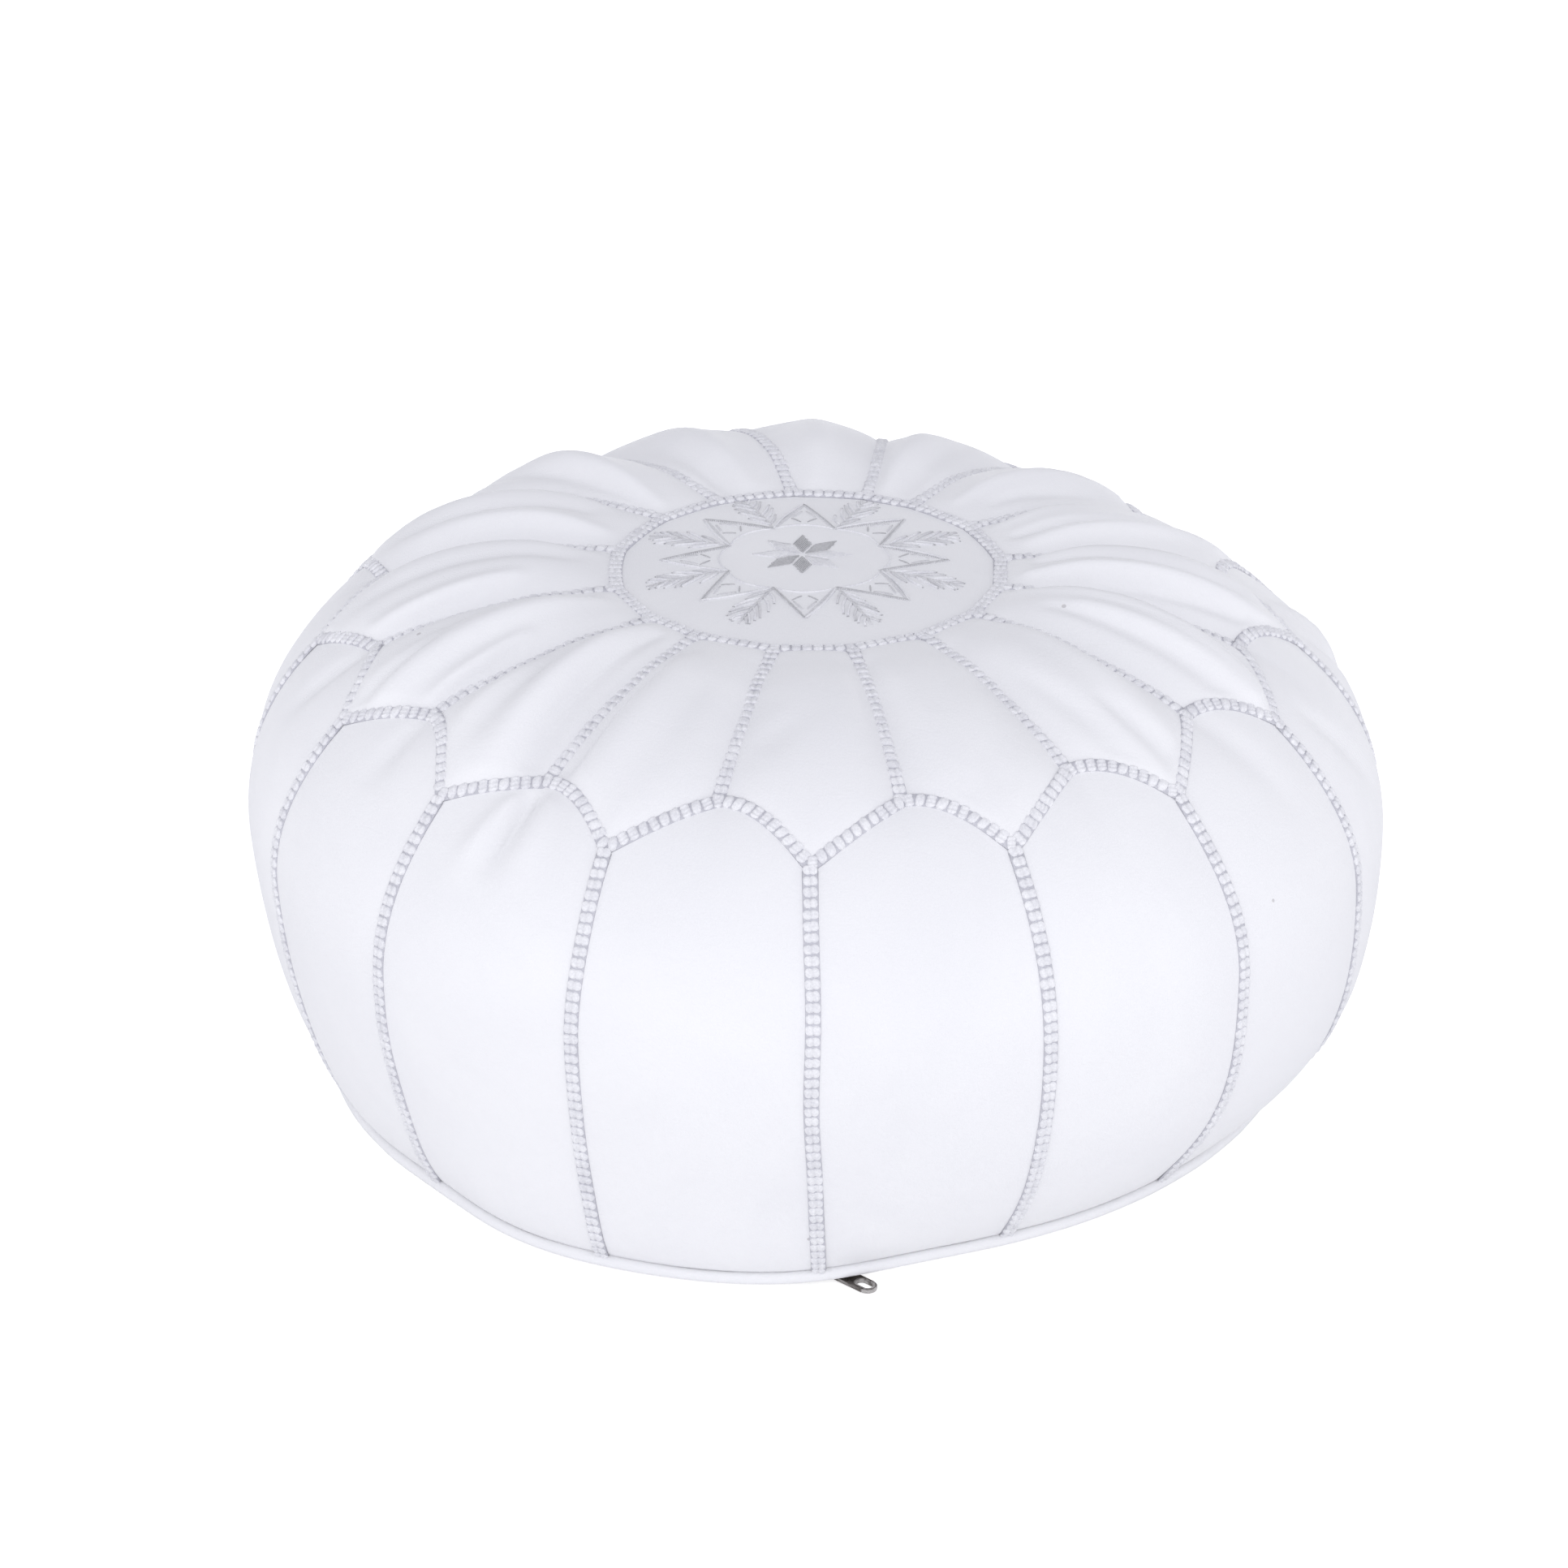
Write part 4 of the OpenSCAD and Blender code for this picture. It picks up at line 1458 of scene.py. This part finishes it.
# ---------------------------------------------------------------------------------------------
# The centre disc


@dataclass
class CentreDisc:
    """The round leather disc and the embroidery on it.

    The star has eight points, tip_r from its centre, with dents at dent_r between them. Its leaves'
    threads and its sprays' stems and barbs are in millimetres from the star's centre. The knots are
    the points and faces of the small cross stitches at the barbs' ends.
    """

    shape: PoufShape
    rings: int = 26
    spokes: int = 160
    dip: float = 1.5 * MM
    star_centre: tuple = (-0.0015, 0.008)
    tip_r: float = 67.0 * MM
    dent_r: float = 38.0 * MM
    sewn_in: float = 0.35 * MM
    leaf_side: float = 12.0
    leaf_centre: tuple = (-1.0, 4.5)
    stem_places: tuple = (38, 48, 58, 68, 79)
    barb_places: tuple = (43, 49, 55, 61, 67, 72)
    barb_lengths: tuple = (13, 16, 15, 13, 10, 7)
    seed: int = 5
    knots: tuple = field(default=([], []), init=False)

    def rim_radius(self, angle: np.ndarray) -> np.ndarray:
        """The disc's radius under the braid, at angles in degrees."""
        u = ((angle - FRONT) / STEP + 0.5) % 1.0 * 2 - 1
        return self.shape.ring_r + self.shape.ring_dent(u)

    def height(self, x: np.ndarray, y: np.ndarray) -> np.ndarray:
        """Height of the disc's upper face, in metres."""
        reach = np.clip(np.hypot(x, y) / self.shape.ring_r, 0, 1)
        edge = self.shape.ring_z - self.shape.seam_sink
        swell = 2.2 * MM * (1 - reach**2) + 1.0 * MM * (1 - reach**8)
        sag = 0.7 * MM * np.sin(x / 0.021 + 1.0) * np.cos(y / 0.027) * (1 - reach**4)
        return edge + swell + sag - self.dip * np.exp(-((np.hypot(x - 0.01, y - 0.01) / 0.03) ** 2))

    def build_disc(self, swatches: Swatches) -> bpy.types.Object:
        """Makes the leather disc."""
        turn = np.linspace(0, 360, self.spokes, endpoint=False)
        share = np.sin(np.linspace(0, math.pi / 2, self.rings + 1))[1:]
        angle, reach = np.meshgrid(turn, share)
        radius = self.rim_radius(angle) * reach
        x, y = radius * np.cos(np.radians(angle)), radius * np.sin(np.radians(angle))
        upper = np.stack([x, y, self.height(x, y)], axis=-1)
        lower = upper - np.array([0, 0, self.shape.leather])
        middle = float(self.height(np.array(0.0), np.array(0.0)))
        centres = np.array([[[0, 0, middle]], [[0, 0, middle - self.shape.leather]]])
        points = np.concatenate([centres[0], upper.reshape(-1, 3), centres[1], lower.reshape(-1, 3)])
        half = 1 + self.rings * self.spokes
        faces = []
        for c in range(self.spokes):
            d = (c + 1) % self.spokes
            faces += [(0, 1 + c, 1 + d), (half, half + 1 + d, half + 1 + c)]
            for r in range(self.rings - 1):
                a, b = 1 + r * self.spokes, 1 + (r + 1) * self.spokes
                faces.append((a + c, b + c, b + d, a + d))
                faces.append((half + a + c, half + a + d, half + b + d, half + b + c))
            rim = 1 + (self.rings - 1) * self.spokes
            faces.append((rim + c, half + rim + c, half + rim + d, rim + d))
        piece = new_piece("leather_medallion", points, faces)
        swatches.dress(piece, Dye.LEATHER)
        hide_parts("medallion")
        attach(piece, "pouf")
        tell(piece)
        return piece

    def on_disc(self, line: list, lift: float = 0.1 * MM) -> tuple[np.ndarray, np.ndarray, bool]:
        """A line of x, y pairs about the star's centre, in millimetres, laid on the disc."""
        flat = np.array(line, float) * MM + np.array(self.star_centre)
        spot = np.column_stack([flat, self.height(flat[:, 0], flat[:, 1]) + lift])
        return spot, np.tile([0.0, 0.0, 1.0], (len(spot), 1)), False

    def thread(self, points: list, faces: list, line: list, radius: float, lift: float = 0.0) -> None:
        """Adds one laid thread, a flattened tube with closed ends, to a mesh in the making.

        Args:
            points: The mesh's vertices, added to.
            faces: The mesh's faces, added to.
            line: x, y pairs about the star's centre, in millimetres.
            radius: The thread's half width, in millimetres.
            lift: How high it rides above the leather, in millimetres.
        """
        given = np.array(line, float)
        gone = np.concatenate([[0], np.linalg.norm(np.diff(given, axis=0), axis=1).cumsum()])
        steps = max(3, int(gone[-1] / 3.0) + 2)
        at = np.linspace(0, gone[-1], steps)
        flat = np.column_stack([np.interp(at, gone, given[:, 0]), np.interp(at, gone, given[:, 1])])
        spot, up, _ = self.on_disc(flat.tolist(), 0.0)
        along = np.gradient(spot, axis=0)
        side = np.cross(up, along)
        side /= np.linalg.norm(side, axis=1, keepdims=True)
        arch = np.sin(math.pi * np.linspace(0.04, 0.96, steps)) ** 0.4
        first = len(points)
        for s in range(steps):
            rise = (lift + 0.9 * radius * arch[s]) * MM
            width = radius * MM * (0.55 + 0.45 * arch[s])
            for across, over in ((-1.0, -self.sewn_in), (-0.6, rise), (0.6, rise), (1.0, -self.sewn_in)):
                points.append(spot[s] + side[s] * across * width + up[s] * over)
        for s in range(steps - 1):
            for c in range(4):
                a, b = first + 4 * s + c, first + 4 * s + (c + 1) % 4
                faces.append((b, a, a + 4, b + 4))
        last = first + 4 * (steps - 1)
        faces += [(first, first + 1, first + 2, first + 3), (last + 3, last + 2, last + 1, last)]

    def build_embroidery(self, layer: StitchLayer, swatches: Swatches) -> bpy.types.Object:
        """Makes the star, the leaves and the sprays.

        Args:
            layer: Lays the star's satin stitches.
            swatches: The finishes.

        Returns:
            The embroidery as one piece.
        """
        draw = np.random.default_rng(self.seed)
        white, grey, hatch = ([], []), ([], []), ([], [])
        self.knots = hatch

        def polar(r: float, degrees: float) -> tuple[float, float]:
            """x, y at a radius and an angle."""
            return r * math.cos(math.radians(degrees)), r * math.sin(math.radians(degrees))

        dent, tip_r = self.dent_r / MM, self.tip_r / MM
        for k in range(8):
            turn = FRONT + 45 * k
            satin = k in (1, 2, 5, 6)
            self.leaf(white if satin else hatch, turn, satin, draw)
            self.spray(white, grey, turn + 22.5, draw)
            arch = [
                polar(dent + 2.2 * math.sin(math.pi * s), turn + 45 * (s - 0.5))
                for s in np.linspace(0, 1, 7)
            ]
            self.thread(*white, arch, 0.42, 0.2)
            for side in (-1, 1):
                tip, foot = np.array(polar(tip_r, turn)), np.array(polar(dent, turn + side * 22.5))
                swing = np.array(polar(1.6 if side > 0 else 0.3, turn + side * 60))
                edge = [
                    tuple(tip + (foot - tip) * s + swing * math.sin(math.pi * s))
                    for s in np.linspace(0, 1, 6)
                ]
                self.thread(*(white if side > 0 else hatch), edge, 0.5 if side > 0 else 0.4, 0.5)
                self.thread(*grey, [polar(58, turn + side * 1), polar(50, turn + side * 6)], 0.6)
                self.thread(*hatch, [polar(44, turn + side * 2), polar(49, turn + side * 7)], 0.5)
        outline = []
        for k in range(8):
            outline.append(polar(tip_r, FRONT + 45 * k))
            outline.append(polar(dent, FRONT + 22.5 + 45 * k))
        outline.append(outline[0])
        dense = []
        for a, b in zip(outline[:-1], outline[1:]):
            dense += [(a[0] + (b[0] - a[0]) * s, a[1] + (b[1] - a[1]) * s) for s in np.linspace(0, 1, 7)[:-1]]
        stitch = StitchBlock(
            span=0.95 * MM,
            length=2.2 * MM,
            height=0.4 * MM,
            skirt=0.1 * MM,
            lobes=1,
            threads=2,
            groove=0.05 * MM,
            slant=0.5 * MM,
        ).build("satin_stitch")
        star = layer.lay(
            "star_satin",
            [self.on_disc(dense)],
            (stitch, stitch),
            swatches[Dye.PALE_THREAD],
            1.05 * MM,
            slant=0.35,
            unevenness=0.12,
            seed=8,
        )
        bpy.data.objects.remove(stitch)
        parts = [star]
        dyed = ((white, Dye.WHITE_THREAD), (grey, Dye.PALE_THREAD), (hatch, Dye.GREY_THREAD))
        for (points, faces), dye in dyed:
            part = new_piece(f"embroidery_{dye.name.lower()}", np.array(points), faces)
            swatches.dress(part, dye)
            parts.append(part)
        piece = join("thread_medallion_embroidery", parts)
        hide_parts("medallion_embroidery")
        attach(piece, "pouf")
        tell(piece)
        return piece

    def leaf(self, mesh: tuple, turn: float, satin: bool, draw: np.random.Generator) -> None:
        """Adds one rhomb leaf of the centre flower, its threads parallel to one side.

        Args:
            mesh: The points and faces it is added to.
            turn: The leaf's direction, in degrees.
            satin: Whether its threads lie close; else they leave gaps.
            draw: Source of small unevenness.
        """
        one, two = (
            np.array([math.cos(math.radians(turn + way * 22.5)), math.sin(math.radians(turn + way * 22.5))])
            for way in (-1, 1)
        )
        side, count, centre = self.leaf_side, 14 if satin else 9, np.array(self.leaf_centre)
        for i in range(count):
            foot = centre + two * (i + 0.5) / count * side + (one + two) * 0.6
            a, b = draw.uniform(0.2, 0.9), side + draw.uniform(-0.4, 0.5)
            self.thread(*mesh, [tuple(foot + one * a), tuple(foot + one * b)], 0.40 if satin else 0.36, 0.25)

    def spray(self, white: tuple, grey: tuple, turn: float, draw: np.random.Generator) -> None:
        """Adds one feather spray that grows out of the star's dent.

        Args:
            white: Points and faces of the white threads.
            grey: Points and faces of the pale threads.
            turn: The spray's direction, in degrees.
            draw: Source of small unevenness.
        """
        ahead = np.array([math.cos(math.radians(turn)), math.sin(math.radians(turn))])
        side = np.array([-ahead[1], ahead[0]])
        bow = draw.uniform(-1.5, 1.5)

        def stem(r: float) -> np.ndarray:
            """A place on the spray's stem."""
            return ahead * r + side * bow * math.sin((r - 38) / 42 * math.pi)

        self.thread(*grey, [tuple(stem(r)) for r in self.stem_places], 0.75)
        for i, (r, usual) in enumerate(zip(self.barb_places, self.barb_lengths)):
            for way in (-1, 1):
                length = usual + draw.uniform(-1, 1)
                lean = math.radians(31 + draw.uniform(-5, 5))
                tip = stem(r) + (ahead * math.cos(lean) + side * way * math.sin(lean)) * length
                bend = (stem(r) + tip) / 2 + side * way * draw.uniform(0.2, 1.3)
                mesh = white if (i + (way > 0)) % 3 else grey
                self.thread(*mesh, [tuple(stem(r)), tuple(bend), tuple(tip)], 0.68, 0.45)
                knot = tip + (tip - bend) * 0.08
                self.thread(*self.knots, [tuple(knot - side * 0.6), tuple(knot + side * 0.6)], 0.45)


# ---------------------------------------------------------------------------------------------
# Underside, rim, inside


@dataclass
class Rim:
    """The folded leather piping round the base, its section in millimetres out from the hem and up."""

    shape: PoufShape
    section: tuple = (
        (-4.4, 3.4), (-1.4, 3.6), (0.5, 2.7), (1.3, 1.2), (1.3, -0.2), (0.7, -1.4), (-0.6, -2.2), (-3.4, -1.6)
    )
    drop: float = 0.4 * MM
    waviness: float = 0.22 * MM
    waves: tuple = (9, 14, 23, 37)
    steps: int = 420
    seed: int = 3

    def build(self, swatches: Swatches) -> bpy.types.Object:
        """Makes the piping."""
        turn = np.linspace(0, 2 * math.pi, self.steps, endpoint=False)
        draw = np.random.default_rng(self.seed)
        wave = self.waviness * sum(
            draw.uniform(0.3, 1.0) * np.sin(n * turn + draw.uniform(0, 2 * math.pi)) for n in self.waves
        )
        low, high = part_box("base_welt")
        radius, middle = self.shape.hem_r, (low.z + high.z) / 2
        rows = []
        for r, z in self.section:
            away = radius + r * MM + wave * (1.0 if r > -1 else 0.3)
            level = middle + z * MM - self.drop + wave * 0.6
            rows.append(np.stack([away * np.cos(turn), away * np.sin(turn), level], axis=-1))
        rows = self.shape.settle(np.array(rows))
        points = rows.reshape(-1, 3)
        count, faces = len(self.section), []
        for s in range(count):
            for c in range(self.steps):
                d = (c + 1) % self.steps
                a, b = s * self.steps, (s + 1) % count * self.steps
                faces.append((a + c, b + c, b + d, a + d))
        piece = new_piece("leather_base_welt", points, faces)
        swatches.dress(piece, Dye.LEATHER)
        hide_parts("base_welt")
        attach(piece, "pouf")
        tell(piece)
        return piece


@dataclass
class Underside:
    """The base's two half discs, soft and puckered, with a stitched edge along the zip.

    The base lies flat out to foot_r and rises by lift towards base_r. Along the zip it is raised into
    a trough: its half width at the top, its half width at the foot and its height. The slot that the
    zip fills is twice slot wide and ends at slot_end, behind the closed end.
    """

    shape: PoufShape
    base_r: float = 225.8 * MM
    foot_r: float = 190.0 * MM
    lift: float = 4.6 * MM
    trough: tuple = (36.0 * MM, 48.0 * MM, 4.4 * MM)
    slot: float = 8.5 * MM
    slot_end: float = 203.8 * MM
    rows: int = 121
    columns: int = 49

    def height(self, x: np.ndarray, y: np.ndarray) -> np.ndarray:
        """Height of the underside's lower face, in metres."""
        radius, turn = np.hypot(x, y), np.arctan2(y, x)
        rise = np.clip((radius - self.foot_r) / (self.base_r - self.foot_r), 0, 1) * self.lift
        narrow, wide, top = self.trough
        trough = top * (1 - soft_step(np.abs(x), narrow, wide))
        away = soft_step(np.abs(x), wide, wide + 20 * MM)
        pucker = 0.7 * MM * (1 + np.sin(31 * turn + 2 * np.sin(3 * turn))) * soft_step(radius, 0.14, 0.205)
        sag = 0.5 * MM * (1 + np.sin(x / 0.023 + 1.3 * np.sin(y / 0.05)) * np.cos(y / 0.031))
        calm = 1 - soft_step(radius, 0.212, 0.2255)
        return np.maximum(rise, trough) + (pucker + sag) * away * calm * soft_step(radius, 0.01, 0.05)

    def build(self, layer: StitchLayer, swatches: Swatches) -> None:
        """Makes both halves and the stitching beside the zip.

        Args:
            layer: Lays the stitches.
            swatches: The finishes.
        """
        paths = []
        for side, node in ((-1, "base_panel_left"), (1, "base_panel_right")):
            reach = math.sqrt(self.base_r**2 - self.slot**2) - 0.1 * MM
            y = np.sin(np.linspace(-1, 1, self.rows) * math.pi / 2)[:, None] * reach
            inner = self.slot + (0.1 * MM - self.slot) * soft_step(y, self.slot_end, self.slot_end + 2 * MM)
            share = np.linspace(0, 1, self.columns)[None, :]
            x = side * (inner + (np.sqrt(self.base_r**2 - y**2) - inner) * share)
            y = y + 0 * x
            if side < 0:
                x, y = x[:, ::-1], y[:, ::-1]
            grid = np.stack([x, y, self.height(x, y)], axis=-1)
            moved = self.shape.settle(grid) - grid
            calm = soft_step(np.abs(x), 0.03, 0.09)
            brim = np.maximum(calm, soft_step(np.hypot(x, y), 0.195, 0.222))
            grid = grid + moved * np.stack([brim, brim, calm], axis=-1)
            grid[..., 2] = np.maximum(grid[..., 2], 0.0)
            piece = thick_sheet(f"leather_{node}", grid, self.shape.leather)
            swatches.dress(piece, Dye.BASE_LEATHER)
            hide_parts(node)
            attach(piece, "pouf")
            tell(piece)
            along = np.linspace(-0.205, self.slot_end, 80)
            for off in (3.0 * MM, 6.0 * MM):
                across = np.full_like(along, side * (self.slot + off))
                line = np.column_stack([across, along, self.height(across, along) - 0.15 * MM])
                paths.append((line, np.tile([0.0, 0.0, -1.0], (len(line), 1)), False))
        stitch = StitchBlock(
            span=2.6 * MM,
            length=0.9 * MM,
            height=0.35 * MM,
            skirt=0.1 * MM,
            lobes=1,
            threads=1,
            groove=0.0,
            slant=0.0,
        )
        template = stitch.build("lock_stitch")
        thread = swatches[Dye.WHITE_THREAD]
        piece = layer.lay("thread_zip_stitching", paths, (template, template), thread, 3.4 * MM, seed=31)
        bpy.data.objects.remove(template)
        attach(piece, "pouf")
        tell(piece)


@dataclass
class Stuffing:
    """The wadding inside, a lumpy body a little smaller than the cover."""

    shape: PoufShape
    inset: float = 9.0 * MM
    floor: float = 13.0 * MM
    lumps: float = 1.6 * MM
    rings: int = 60
    spokes: int = 128

    def build(self, swatches: Swatches) -> None:
        """Makes the wadding."""
        arc = np.linspace(0, self.shape.length * 0.97, self.rings)
        turn = np.linspace(0, 360, self.spokes, endpoint=False)
        angle, along = np.meshgrid(turn, arc)
        bend = np.radians(angle)
        lump = self.lumps * np.sin(bend * 9 + along * 60) * np.cos(along * 85 + bend * 4)
        body = self.shape.point(angle, along, -self.inset + lump)
        low = body[-1]
        inward = [low * np.array([s, s, 0]) + np.array([0, 0, self.floor]) for s in (0.97, 0.85, 0.6, 0.3)]
        top = [body[0] * np.array([s, s, 1]) for s in (0.25, 0.55, 0.8)]
        rows = np.concatenate([np.array(top), body, np.array(inward)])
        body_points = rows.reshape(-1, 3)
        count = len(rows)
        crown = [0.0, 0.0, float(rows[0, :, 2].mean())]
        points = np.concatenate([[crown], body_points, [[0.0, 0.0, self.floor]]])
        faces, last = [], len(points) - 1
        for c in range(self.spokes):
            d = (c + 1) % self.spokes
            faces.append((0, 1 + c, 1 + d))
            for r in range(count - 1):
                a, b = 1 + r * self.spokes, 1 + (r + 1) * self.spokes
                faces.append((a + c, b + c, b + d, a + d))
            end = 1 + (count - 1) * self.spokes
            faces.append((end + c, last, end + d))
        piece = new_piece("wadding_filling", points, faces)
        swatches.dress(piece, Dye.WADDING)
        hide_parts("filling")
        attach(piece, "pouf")
        tell(piece)


# ---------------------------------------------------------------------------------------------
# Studio


@dataclass(frozen=True)
class Lamp:
    """One soft light panel: where it hangs and its size, in metres, and its power in watts."""

    name: str
    place: tuple[float, float, float]
    size: tuple[float, float]
    power: float

    def hang(self, aim: tuple[float, float, float]) -> None:
        """Hangs the panel, facing the aim."""
        light = bpy.data.lights.new(self.name, "AREA")
        light.shape, light.energy = "RECTANGLE", self.power
        light.size, light.size_y = self.size
        hung = bpy.data.objects.new(self.name, light)
        hung.location = self.place
        hung.rotation_euler = (Vector(aim) - Vector(self.place)).to_track_quat("-Z", "Y").to_euler()
        bpy.context.scene.collection.objects.link(hung)


LAMPS = (
    Lamp("key", (-0.6, -2.0, 2.0), (2.4, 1.6), 5.5),
    Lamp("fill", (2.6, -0.8, 0.8), (1.8, 1.2), 6.0),
    Lamp("left", (-2.6, -0.4, 0.7), (1.8, 1.2), 3.5),
    Lamp("back", (0.4, 2.6, 0.6), (2.4, 1.0), 6.0),
)


@dataclass
class Studio:
    """The floor, the lights and the camera.

    The floor's glow rises from near to far, and the camera alone sees it brighter by seen_glow. The
    sky's strength falls from in front of the pouf to behind it.
    """

    floor_half: float = 14.0
    floor_colour: tuple = (0.9, 0.9, 0.9, 1.0)
    glow_colour: tuple = (1.0, 1.0, 1.0, 1.0)
    glow_reach: tuple = (0.35, 2.0)
    glow: tuple = (0.10, 0.6)
    seen_glow: float = 0.6
    sky_colour: tuple = (0.925, 0.93, 1.0, 1.0)
    sky: tuple = (1.22, 0.36)
    lamp_aim: tuple = (0, 0, 0.12)
    lens: float = 109.8
    sensor: float = 36.0
    eye: tuple = (-0.0111, -2.0386, 1.1349)
    target: tuple = (-0.0111, 0.0, 0.1318)

    def build(self) -> None:
        """Sets up the studio."""
        scene = bpy.context.scene
        scene.view_settings.view_transform = "Standard"
        self.build_floor()
        self.build_sky(scene)
        for lamp in LAMPS:
            lamp.hang(self.lamp_aim)
        camera = bpy.data.objects.new("camera", bpy.data.cameras.new("camera"))
        camera.data.lens, camera.data.sensor_width = self.lens, self.sensor
        camera.data.clip_end = 100.0
        camera.location = self.eye
        aim = Vector(self.target) - camera.location
        camera.rotation_euler = aim.to_track_quat("-Z", "Y").to_euler()
        scene.collection.objects.link(camera)
        scene.camera = camera

    def build_floor(self) -> None:
        """Lays the floor."""
        a = self.floor_half
        floor = new_piece("floor", np.array([(-a, -a, 0), (a, -a, 0), (a, a, 0), (-a, a, 0)]), [(0, 1, 2, 3)])
        material = bpy.data.materials.new("studio_floor")
        material.use_nodes = True
        w = Wiring(material.node_tree)
        place = w.add("ShaderNodeTexCoord").outputs["Object"]
        far = w.add("ShaderNodeVectorMath", {0: place}, operation="LENGTH").outputs["Value"]
        (near, away), (low, high) = self.glow_reach, self.glow
        glow = w.add("ShaderNodeMapRange", {0: far, 1: near, 2: away, 3: low, 4: high}).outputs[0]
        seen = w.maths("MULTIPLY", w.add("ShaderNodeLightPath").outputs["Is Camera Ray"], self.seen_glow)
        w.feed(material.node_tree.nodes["Principled BSDF"], {
            "Base Color": self.floor_colour,
            "Roughness": 0.9,
            "Specular IOR Level": 0.1,
            "Emission Color": self.glow_colour,
            "Emission Strength": w.maths("ADD", glow, seen),
        })
        floor.data.materials.append(material)

    def build_sky(self, scene: bpy.types.Scene) -> None:
        """Lights the surroundings."""
        world = bpy.data.worlds.new("studio_world")
        world.use_nodes = True
        w = Wiring(world.node_tree)
        place = w.add("ShaderNodeTexCoord").outputs["Generated"]
        back = w.add("ShaderNodeSeparateXYZ", {0: place}).outputs["Y"]
        ahead, behind = self.sky
        glow = w.add("ShaderNodeMapRange", {0: back, 1: -1.0, 2: 1.0, 3: ahead, 4: behind}).outputs[0]
        w.feed(world.node_tree.nodes["Background"], {"Color": self.sky_colour, "Strength": glow})
        scene.world = world


# ---------------------------------------------------------------------------------------------
# The whole


def main() -> None:
    """Builds the pouf, piece by piece, in its studio."""
    logging.basicConfig(level=logging.INFO, format="%(name)s: %(message)s", stream=sys.stdout)
    Studio().build()
    swatches = Swatches()
    shape = PoufShape()
    layer = StitchLayer()
    LeatherCover(shape).build(swatches)
    Braids(shape).build(layer, swatches)
    disc = CentreDisc(shape)
    disc.build_disc(swatches)
    disc.build_embroidery(layer, swatches)
    Rim(shape).build(swatches)
    Underside(shape).build(layer, swatches)
    Stuffing(shape).build(swatches)
    for node in ("zip_tape_left", "zip_tape_right"):
        swatches.dress(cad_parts[node], Dye.TAPE)
    metal = ("teeth_left", "teeth_right", "top_stops", "bottom_stop", "slider", "pull_tab")
    for part in metal:
        swatches.dress(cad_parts[f"zip_{part}"], Dye.METAL)


if __name__ == "__main__":
    main()
